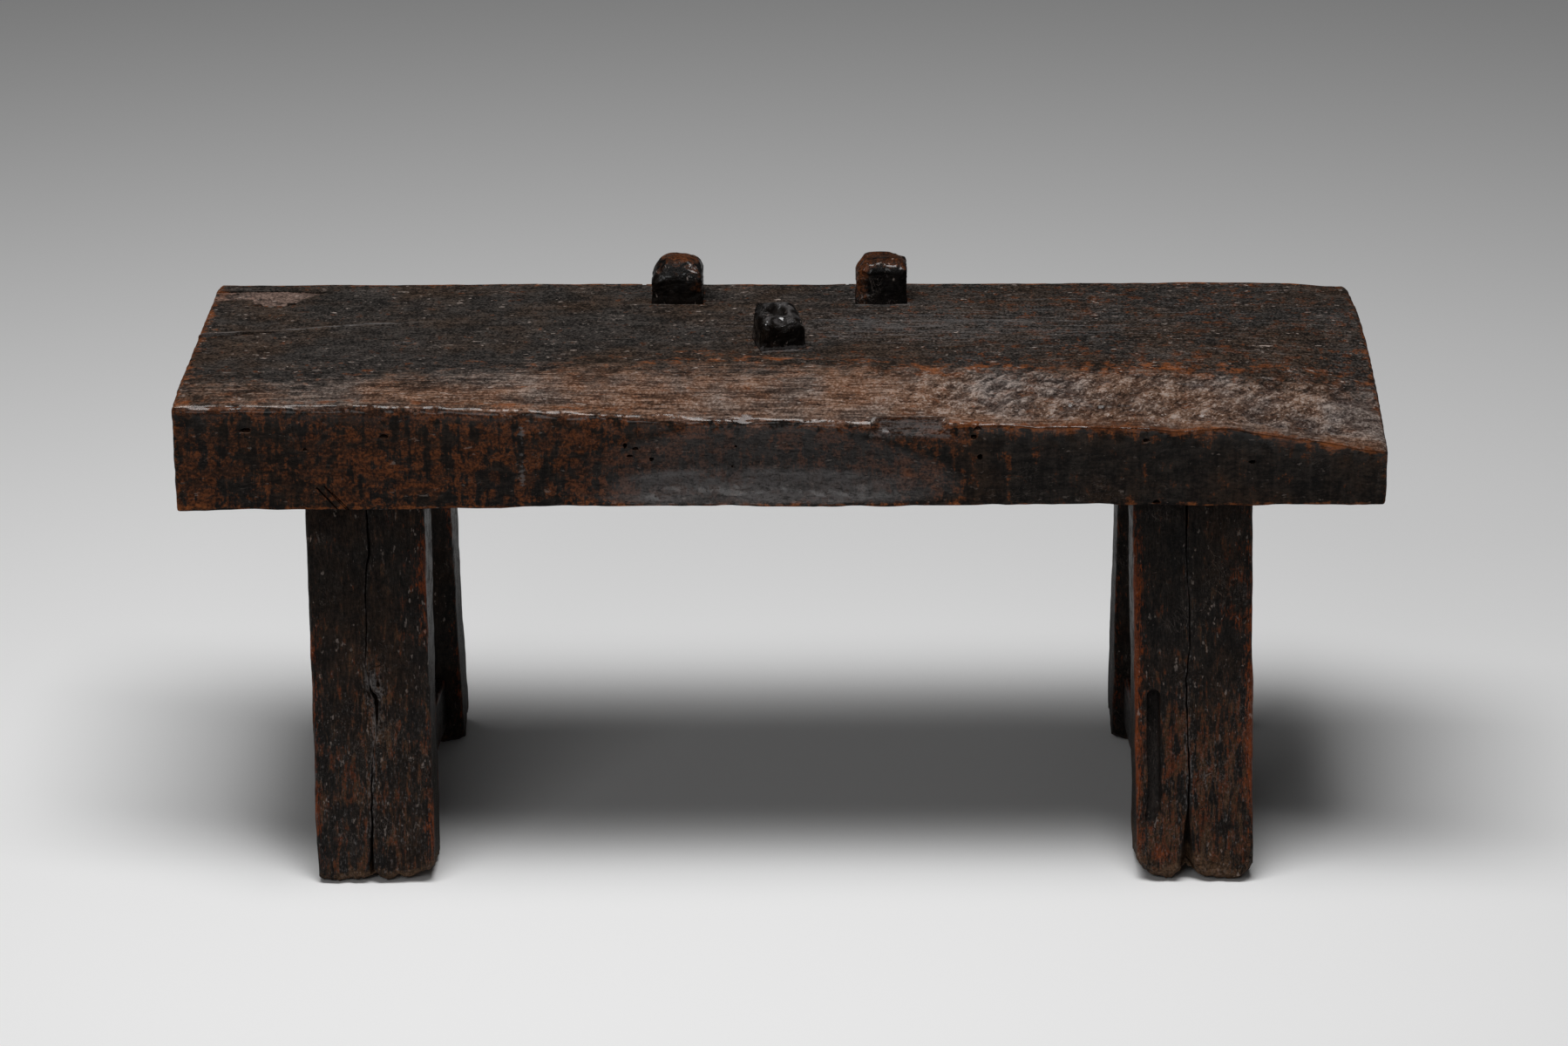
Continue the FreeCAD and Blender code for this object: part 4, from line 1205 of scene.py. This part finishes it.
def stop_masks(p, normals, name):
    """Where a stop's head is rubbed red or filmed grey; the grey on the front stop's top is painted sheen.
    """
    _, width, _, _, rise = STOPS[name]
    a, b, c = stop_local(p, name).T
    facing_up = normals[:, 2]
    head = smooth_step(c, TOP + 6, TOP + rise - 6)
    shaft = 1 - smooth_step(c, TOP - 4, TOP)
    up = smooth_step(facing_up, 0.2, 0.8)
    rubbed = veil = stain = 0
    film = 0.12 * up * head
    if name == "back_left_stop":
        stain = 0.5 * smooth_step(facing_up, 0.5, 0.95) * head + 0.24 * smooth_step(c, TOP + 4, TOP + 16)
        stain = stain + 0.3 * bell(c, TOP + 14, 8) * smooth_step(a, 4, 18)
        rubbed = 0.36 * smooth_step(facing_up, 0.6, 0.95) * bell(a, 2, 12)
        shine = 0.6
    elif name == "back_right_stop":
        left = smooth_step(-a, width / 2 - 20, width / 2 - 3)
        stain = 0.56 * left + 0.46 * up * head + 0.1 * head
        rubbed = 0.34 * left
        shine = 0.55
    else:
        dish = smooth_step(-np.hypot(a, b - DISH_PLACE), -10, -6.5) * (c > TOP + 12)
        # Grey on the front stop's top, outside its dish: painted sheen
        film = 0.42 * smooth_step(facing_up, 0.7, 0.95) * head - 0.9 * dish
        film += 0.7 * bell(c, TOP + 1, 2) * (b < 0)
        patches = smooth_step(layered_field(p, (7, 7, 7), 95), -0.6, 0.5)
        # Smooth grey patches on the top: painted sheen
        veil = 0.9 * patches * smooth_step(facing_up, 0.6, 0.95) * head * (1 - dish)
        shine = 1 - 0.9 * dish
    return {"rubbed": rubbed, "stain": stain + 0.15 * shaft, "bare": 0.12 * shaft, "film": film,
            "polish": shine * (1 - shaft), "veil": veil}


class NodePen:
    """Adds and links the nodes of one shader tree."""

    def __init__(self, tree):
        self.tree = tree

    def node(self, kind, **options):
        made = self.tree.nodes.new(kind)
        for option, value in options.items():
            setattr(made, option, value)
        return made

    def put(self, socket, value):
        """Links an output to a socket, or sets the socket's own value."""
        if isinstance(value, bpy.types.NodeSocket):
            self.tree.links.new(value, socket)
        else:
            socket.default_value = value

    def fill(self, kind, values, **options):
        """New node with values put into its sockets, by name or number, and its first output."""
        made = self.node(kind, **options)
        for socket, value in values.items():
            self.put(made.inputs[socket], value)
        return made.outputs[0]

    def calc(self, operation, a, b=0, clamp=False):
        return self.fill("ShaderNodeMath", {0: a, 1: b}, operation=operation, use_clamp=clamp)

    def times(self, a, b):
        return self.calc("MULTIPLY", a, b)

    def blend(self, *parts):
        """Sum of values, each times its share."""
        total = self.times(*parts[0])
        for part in parts[1:]:
            total = self.calc("ADD", total, self.times(*part))
        return total

    def mix(self, factor, a, b, blend="MIX"):
        made = self.node("ShaderNodeMix", data_type="RGBA", blend_type=blend)
        for socket, value in ((made.inputs[0], factor), (made.inputs[6], a), (made.inputs[7], b)):
            self.put(socket, (*value, 1) if isinstance(value, tuple) else value)
        return made.outputs[2]

    def tint(self, tone, factor):
        return self.mix(1, tone, factor, "MULTIPLY")

    def noise(self, vector, scale, detail=3, roughness=0.55, distortion=0):
        return self.fill("ShaderNodeTexNoise", {"Vector": vector, "Scale": scale, "Detail": detail,
                                                "Roughness": roughness, "Distortion": distortion})

    def ramp(self, value, low, high, start=0, end=1):
        return self.fill("ShaderNodeMapRange", dict(enumerate((value, low, high, start, end))),
                         interpolation_type="SMOOTHSTEP")

    def stretch(self, vector, scale):
        return self.fill("ShaderNodeMapping", {"Vector": vector, "Scale": scale})

    def turn(self, vector, angles):
        return self.fill("ShaderNodeMapping", {"Vector": vector, "Rotation": angles})

    def mask(self, name):
        return self.node("ShaderNodeAttribute", attribute_name=name).outputs["Fac"]

    def group(self, tree, **inputs):
        made = self.node("ShaderNodeGroup", node_tree=tree)
        for name, value in inputs.items():
            self.put(made.inputs[name.replace("_", " ").title()], value)
        return made.outputs


def new_group(name, inputs, outputs):
    """Empty shader node group with its sockets, its pen, what it is given and what it hands on."""
    tree = bpy.data.node_groups.new(name, "ShaderNodeTree")
    for direction, sockets in (("INPUT", inputs), ("OUTPUT", outputs)):
        for socket in sockets:
            kind = "NodeSocketVector" if socket == "Vector" else "NodeSocketFloat"
            tree.interface.new_socket(socket, in_out=direction, socket_type=kind)
    pen = NodePen(tree)
    return tree, pen, pen.node("NodeGroupInput").outputs, pen.node("NodeGroupOutput").inputs


def grain_group():
    """Fine fibres, broad figure, dark pores and long strands, from a vector stretched along the grain."""
    tree, pen, given, result = new_group("Wood Grain", ("Vector",), ("Fibre", "Figure", "Pores", "Strands"))
    vector = given["Vector"]
    pen.put(result["Fibre"], pen.noise(vector, 300, 5, 0.72, 0.4))
    pen.put(result["Strands"], pen.noise(pen.stretch(vector, (0.22, 1, 1)), 400, 4, 0.62, 0.25))
    pen.put(result["Figure"], pen.noise(vector, 70, 6, 0.66, 0.9))
    pen.put(result["Pores"], pen.ramp(pen.noise(vector, 520, 3, 0.6, 0.2), 0.59, 0.68))
    return tree


def breakup_group():
    """Breaks a soft mask into ragged patches that follow the fibres and the blotches."""
    tree, pen, given, result = new_group(
        "Ragged Mask", ("Mask", "Fibre", "Blotch", "Fibre Share", "Blotch Share", "Softness"), ("Mask",))
    fibre, blotch = (pen.times(pen.calc("SUBTRACT", given[name], 0.5), given[name + " Share"])
                     for name in ("Fibre", "Blotch"))
    total = pen.calc("ADD", given["Mask"], pen.calc("ADD", fibre, blotch))
    low, high = (pen.calc(operation, 0.5, given["Softness"]) for operation in ("SUBTRACT", "ADD"))
    present = pen.ramp(given["Mask"], 0, 0.1)
    pen.put(result["Mask"], pen.times(pen.ramp(total, low, high), present))
    return tree


def marks_group():
    """Pale flecks, fine scratches, dents, torn fibres and grit, from a vector turned along the grain."""
    tree, pen, given, result = new_group(
        "Wear Marks", ("Vector",), ("Specks", "Scratches", "Dents", "Tears", "Grit"))
    vector = given["Vector"]
    flecks = pen.ramp(pen.noise(pen.stretch(vector, (0.4, 1, 1)), 260, 3, 0.6), 0.645, 0.695)
    chosen = pen.ramp(pen.noise(vector, 24, 3, 0.6), 0.4, 0.54)
    pen.put(result["Specks"], pen.times(flecks, chosen))
    scratches = 0
    for turn, scale in SCRATCH_WAYS:
        aslant = pen.turn(vector, (turn, turn * 0.6, turn))
        spread = pen.noise(pen.stretch(aslant, scale), 1, 1)
        line = pen.ramp(pen.calc("ABSOLUTE", pen.calc("SUBTRACT", spread, 0.5)), 0.014, 0)
        scratches = pen.calc("MAXIMUM", line, scratches)
    sparse = pen.ramp(pen.noise(vector, 34, 2), 0.56, 0.68)
    pen.put(result["Scratches"], pen.times(scratches, sparse))
    pen.put(result["Dents"], pen.noise(vector, 95, 4, 0.62, 0.4))
    slanted = pen.stretch(pen.turn(vector, (0, 0, -0.8)), (0.42, 1, 1))
    pen.put(result["Tears"], pen.noise(slanted, 260, 5, 0.72, 0.7))
    pen.put(result["Grit"], pen.noise(vector, 420, 4, 0.65, 0.3))
    return tree


def aged_wood(name, groups, dark, light, finish, turn, look):
    """Patinated wood. dark and light each hold a tone for level and for upright faces."""
    material = bpy.data.materials.new(name)
    material.use_nodes = True
    pen = NodePen(material.node_tree)
    shader = material.node_tree.nodes["Principled BSDF"].inputs
    place = pen.node("ShaderNodeTexCoord").outputs["Object"]
    along = pen.turn(place, turn)
    grain = pen.group(groups["grain"], vector=pen.stretch(along, look["grain"]))
    fibre, figure, pores, strands = (grain[i] for i in range(4))
    marks = pen.group(groups["marks"], vector=along)
    specks, scratches, dents, tears, grit = (marks[i] for i in range(5))
    blotch = pen.noise(place, look["blotch_scale"], 8, 0.68, 0.4)
    streak = pen.noise(pen.stretch(place, look["streak_scale"]), 1, look["streak_detail"], 0.64, 0.3)
    cloud = pen.noise(place, 13, 4, 0.6)
    band, torn, raised, upright, polish = map(pen.mask, ("worn", "torn", "raised", "upright", "polish"))

    def shade(key):
        return tuple(getattr(finish, look.get(key, key)))

    def ragged(mask, fibre_share, blotch_share, softness, spots=blotch, lines=fibre):
        return pen.group(groups["ragged"], mask=mask, fibre=lines, blotch=spots, fibre_share=fibre_share,
                         blotch_share=blotch_share, softness=softness)["Mask"]

    # Patina
    level = pen.blend((fibre, 0.16), (strands, 0.09), (grit, 0.45), (blotch, 0.19), (raised, 0.11))
    standing = pen.blend((fibre, 0.3), (grit, 0.2), (blotch, 0.25), (streak, 0.25))
    tone = pen.mix(upright, pen.mix(pen.ramp(level, 0.44, 0.575), dark[0], light[0]),
                   pen.mix(pen.ramp(standing, 0.43, 0.59), dark[1], light[1]))
    tone = pen.mix(pen.ramp(cloud, 0.4, 0.64), tone, pen.tint(tone, WARM_TINT))

    # Red stain
    stain = ragged(pen.mask("stain"), look["streaks"], look["patchiness"], look["stain_softness"],
                   lines=streak)
    red = pen.mix(pen.ramp(pen.blend((figure, 0.5), (grit, 0.5)), 0.44, 0.6), shade("brown"), shade("red"))
    speckle = pen.blend((fibre, 0.5), (grit, 0.5))
    red = pen.tint(red, pen.ramp(speckle, 0.4, 0.6, 0.5, 1.3))
    tone = pen.mix(pen.times(stain, look["stain"]), tone, red)

    # Dry wood of the worn band, frayed where it is torn
    frayed = pen.ramp(torn, 0.35, 0.85, 0.25, 1)
    rough = pen.blend((tears, frayed), (strands, pen.calc("SUBTRACT", 1, frayed)))
    worn = ragged(band, 1, 1, 0.32, lines=rough)
    dry = pen.mix(pen.ramp(pen.blend((rough, 0.45), (grit, 0.4), (raised, 0.15)), 0.41, 0.59),
                  shade("worn_dark"), shade("worn_wood"))
    dry = pen.mix(pen.ramp(cloud, 0.4, 0.6), dry, pen.tint(dry, RED_TINT))
    dry = pen.tint(dry, pen.mix(pen.ramp(torn, 0.25, 0.85), *WEATHER_TINTS))
    flakes = pen.blend((rough, 0.46), (grit, 0.46), (raised, 0.08))
    # Palest torn fibres: partly paler wood, partly painted highlights on the raised fibres
    pale_and_glint = pen.times(pen.ramp(flakes, 0.505, 0.59), pen.ramp(torn, 0, 0.8, 0.2, 0.75))
    tone = pen.mix(worn, tone, pen.mix(pale_and_glint, dry, shade("pale_wood")))

    # Rubbed edges, bare wood and films of wax, with painted highlights and sheen among them
    rubbed = ragged(pen.mask("rubbed"), look["edge_streaks"], 1.3, 0.14)
    bright = pen.mix(pen.ramp(pen.blend((figure, 0.6), (grit, 0.4)), 0.42, 0.6), shade("red"), shade("edge"))
    tone = pen.mix(pen.times(rubbed, look["rubbed"]), tone, bright)
    bare = ragged(pen.mask("bare"), 1.3, 1.2, 0.2)
    raw = pen.mix(pen.ramp(grit, 0.42, 0.58), tuple(0.4 * c for c in shade("raw")), shade("raw"))
    tone = pen.mix(pen.times(bare, 0.85), tone, raw)
    film = ragged(pen.mask("film"), 1.5, 1, 0.17, grit, strands)
    tone = pen.mix(pen.times(film, look["film"]), tone, shade("grey_film"))
    # Smooth grey of painted sheen and painted light
    painted_light_share = pen.times(pen.mask("veil"), pen.ramp(speckle, 0.36, 0.58, 0.35, 1))
    tone = pen.mix(painted_light_share, tone, shade("thin_film"))

    # Pores, pits and pale marks
    tone = pen.mix(pen.times(pores, 0.55), tone, pen.mix(0.8, tone, PORE_DARK))
    pits = pen.times(pen.ramp(flakes, 0.46, 0.38), pen.ramp(torn, 0, 0.8, 0.25, 0.75))
    tone = pen.mix(pen.times(pits, pen.ramp(band, 0.1, 0.6)), tone, shade("pit_dark"))
    light_marks = pen.calc("MAXIMUM", pen.times(specks, 0.7), pen.times(scratches, 0.3))
    shown = pen.ramp(upright, 0, 1, look["marks"], look["face_marks"])
    pen.put(shader["Base Color"], pen.mix(pen.times(light_marks, shown), tone, shade("pale_wood")))

    # Shine
    dull = pen.calc("ADD", look["roughness"], pen.times(pen.calc("SUBTRACT", blotch, 0.5), 0.3))
    dull = pen.calc("ADD", dull, pen.times(pen.calc("MAXIMUM", worn, bare), 0.1))
    dull = pen.calc("SUBTRACT", dull, pen.times(polish, look["gloss"]), True)
    pen.put(shader["Roughness"], pen.calc("MAXIMUM", dull, 0.2))
    gleam = pen.times(polish, pen.ramp(dents, *look["gleam"]))
    pen.put(shader["Coat Weight"], pen.times(gleam, look["coat"]))
    shader["Coat Roughness"].default_value = look["coat_roughness"]
    shader["Specular IOR Level"].default_value = look["specular"]

    # Fine relief
    height = pen.blend((fibre, 0.38), (figure, 0.25), (dents, look["dents"]), (grit, look["grit"]))
    height = pen.calc("SUBTRACT", height, pen.blend((pores, 0.2), (scratches, 0.1)))
    height = pen.calc("ADD", height, pen.times(pen.times(rough, 2), band))
    bump = {"Strength": look["bump"], "Distance": BUMP_DISTANCE, "Height": height}
    pen.put(shader["Normal"], pen.fill("ShaderNodeBump", bump))
    return material


def wood_material(name, kind, axis):
    """One of the bench's aged woods, made once and shared by like pieces. axis is the way its grain runs."""
    found = bpy.data.materials.get(name)
    if found:
        return found
    makers = {"grain": ("Wood Grain", grain_group), "ragged": ("Ragged Mask", breakup_group),
              "marks": ("Wear Marks", marks_group)}
    groups = {key: bpy.data.node_groups.get(label) or make() for key, (label, make) in makers.items()}
    finish = bpy.context.scene.bench_finish
    dark, light = ([tuple(getattr(finish, tone)) for tone in pair] for pair in TONES[kind])
    return aged_wood(name, groups, dark, light, finish, GRAIN_TURN[axis], LOOKS[kind])


def build_piece(bm, points, name, cutters=None):
    """Object from a shaped mesh, its joints cut, with its vertices in millimetres and their normals."""
    write_points(bm, points)
    piece = new_object(bm, name)
    if cutters is not None:
        cut_away(piece, cutters)
    return piece, *mesh_arrays(piece.data)


class BENCH_OT_slab(bpy.types.Operator):
    """Build the worn slab with its mortises and old breaks"""
    bl_idname = "bench.slab"
    bl_label = "Slab"

    def execute(self, context):
        settings = context.scene.bench_slab
        bm, p = shape_slab_block(settings)
        relief = sum(slab_relief(p, surface_normals(bm, p), settings))
        slab, *surface = build_piece(bm, move_along_normals(bm, p, relief), "worn_slab", slab_cutters())
        hand_over(slab, slab_masks(*surface, settings), wood_material("Slab Patina", "slab", 0),
                  "bench", "top_slab")
        return {"FINISHED"}


class BENCH_OT_legs(bpy.types.Operator):
    """Build the four splayed plank legs"""
    bl_idname = "bench.legs"
    bl_label = "Legs"

    def execute(self, context):
        settings = context.scene.bench_legs
        for seed, (name, side) in zip(itertools.count(100, 20), LEG_SIDES.items()):
            bm, p, body = shape_leg_block(name, side, seed, settings)
            placed = place_leg(bm, p, side, body, seed, settings)
            leg, *surface = build_piece(bm, placed, name + "_plank_leg", leg_cutters(name, side))
            hand_over(leg, leg_masks(*surface, name, side, seed), wood_material("Leg Patina", "leg", 2),
                      "bench", name + "_leg")
        return {"FINISHED"}


class BENCH_OT_stretchers(bpy.types.Operator):
    """Build the two low stretchers"""
    bl_idname = "bench.stretchers"
    bl_label = "Stretchers"

    def execute(self, context):
        for seed, (name, side_x) in zip((300, 320), (("left", -1), ("right", 1))):
            shaped = shape_stretcher(side_x, seed, context.scene.bench_legs)
            rail, *surface = build_piece(*shaped, name + "_rail")
            hand_over(rail, stretcher_masks(*surface), wood_material("Stretcher Patina", "leg", 1),
                      "bench", name + "_stretcher")
        return {"FINISHED"}


class BENCH_OT_stops(bpy.types.Operator):
    """Build the three sliding bench stops"""
    bl_idname = "bench.stops"
    bl_label = "Stops"

    def execute(self, context):
        for seed, name in zip((400, 420, 440), STOPS):
            stop, *surface = build_piece(*shape_stop(name, seed, context.scene.bench_stops), name + "_peg")
            hand_over(stop, stop_masks(*surface, name), wood_material("Stop Patina", "stop", 2),
                      name, name)
        return {"FINISHED"}


class BENCH_OT_wedges(bpy.types.Operator):
    """Give the four hidden tenon wedges their plain wood"""
    bl_idname = "bench.wedges"
    bl_label = "Wedges"

    def execute(self, context):
        wood = tuple(context.scene.bench_finish.wedge_wood)
        material = bpy.data.materials.new("Wedge Wood")
        material.use_nodes = True
        pen = NodePen(material.node_tree)
        shader = material.node_tree.nodes["Principled BSDF"].inputs
        place = pen.node("ShaderNodeTexCoord").outputs["Object"]
        streaks = pen.noise(pen.stretch(place, (1, 1, 0.06)), 420, 4, 0.6, 0.4)
        darker = tuple(0.6 * c for c in wood)
        pen.put(shader["Base Color"], pen.mix(pen.ramp(streaks, 0.3, 0.7), wood, darker))
        pen.put(shader["Roughness"], pen.ramp(streaks, 0.2, 0.8, 0.55, 0.75))
        for corner in LEG_SIDES:
            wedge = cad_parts[corner + "_wedge"]
            wedge.data.materials.clear()
            wedge.data.materials.append(material)
        return {"FINISHED"}


def add_lamp(name, watts, size, place, target):
    """Large rectangular lamp that faces a point."""
    data = bpy.data.lights.new(name, "AREA")
    data.shape = "RECTANGLE"
    data.size, data.size_y = size
    data.energy = watts
    lamp = bpy.data.objects.new(name, data)
    lamp.location = place
    lamp.rotation_euler = (Vector(target) - Vector(place)).to_track_quat("-Z", "Y").to_euler()
    bpy.context.scene.collection.objects.link(lamp)


def add_floor(tone):
    """Wide plain floor."""
    bm = bmesh.new()
    bmesh.ops.create_grid(bm, x_segments=1, y_segments=1, size=FLOOR_REACH)
    floor = new_object(bm, "floor")
    paper = bpy.data.materials.new("Pale Floor")
    paper.use_nodes = True
    shader = paper.node_tree.nodes["Principled BSDF"].inputs
    shader["Base Color"].default_value = (*tone, 1)
    shader["Roughness"].default_value = 0.7
    shader["Specular IOR Level"].default_value = 0.25
    floor.data.materials.append(paper)


def add_camera(stage):
    """Camera that looks along its yaw and down by its pitch, tilted by its roll."""
    data = bpy.data.cameras.new("photo_camera")
    data.lens = stage.camera_lens
    data.sensor_width = SENSOR_WIDTH
    data.sensor_fit = "HORIZONTAL"
    camera = bpy.data.objects.new("photo_camera", data)
    yaw, pitch, roll = stage.camera_yaw, stage.camera_pitch, stage.camera_roll
    ahead = Vector((math.sin(yaw) * math.cos(pitch), math.cos(yaw) * math.cos(pitch), -math.sin(pitch)))
    level = Vector((math.cos(yaw), -math.sin(yaw), 0))
    above = level.cross(ahead)
    right = level * math.cos(roll) + above * math.sin(roll)
    up = above * math.cos(roll) - level * math.sin(roll)
    turn = Matrix((right, up, -ahead)).transposed().to_4x4()
    camera.matrix_world = Matrix.Translation(stage.camera_place) @ turn
    return camera


class BENCH_OT_stage(bpy.types.Operator):
    """Build the floor, the lamps and the camera"""
    bl_idname = "bench.stage"
    bl_label = "Stage"

    def execute(self, context):
        scene = context.scene
        stage = scene.bench_stage
        add_floor(stage.floor)
        scene.world = bpy.data.worlds.new("Studio")
        scene.world.use_nodes = True
        sky = scene.world.node_tree.nodes["Background"].inputs
        sky["Color"].default_value = (1, 1, 1, 1)
        sky["Strength"].default_value = stage.ambient
        add_lamp("overhead_lamp", stage.key_power, (2, 1), (-0.2, -0.5, 2.9), (0, 0, 0.35))
        add_lamp("front_lamp", stage.fill_power, (2.4, 1.2), (-1.1, -3.2, 2.3), (0, 0, 0.3))
        scene.camera = add_camera(stage)
        scene.collection.objects.link(scene.camera)
        scene.view_settings.view_transform = "Standard"
        return {"FINISHED"}


class BENCH_PT_panel(bpy.types.Panel):
    """Lists the steps that build the bench"""
    bl_idname = "BENCH_PT_panel"
    bl_label = "Work Bench"
    bl_space_type = "VIEW_3D"
    bl_region_type = "UI"
    bl_category = "Bench"

    def draw(self, context):
        column = self.layout.column(align=True)
        for step in STEPS:
            column.operator(step.bl_idname)


SETTINGS = {"bench_slab": SlabSettings, "bench_legs": LegSettings, "bench_stops": StopSettings,
            "bench_finish": FinishSettings, "bench_stage": StageSettings}
STEPS = (BENCH_OT_slab, BENCH_OT_legs, BENCH_OT_stretchers, BENCH_OT_stops, BENCH_OT_wedges, BENCH_OT_stage)


def register():
    for name, kind in SETTINGS.items():
        bpy.utils.register_class(kind)
        setattr(bpy.types.Scene, name, PointerProperty(type=kind))
    for kind in (*STEPS, BENCH_PT_panel):
        bpy.utils.register_class(kind)


def unregister():
    for kind in (BENCH_PT_panel, *reversed(STEPS)):
        bpy.utils.unregister_class(kind)
    for name, kind in SETTINGS.items():
        delattr(bpy.types.Scene, name)
        bpy.utils.unregister_class(kind)


def main():
    """Builds the bench."""
    register()
    bpy.ops.bench.slab()
    bpy.ops.bench.legs()
    bpy.ops.bench.stretchers()
    bpy.ops.bench.stops()
    bpy.ops.bench.wedges()
    bpy.ops.bench.stage()


if __name__ == "__main__":
    main()
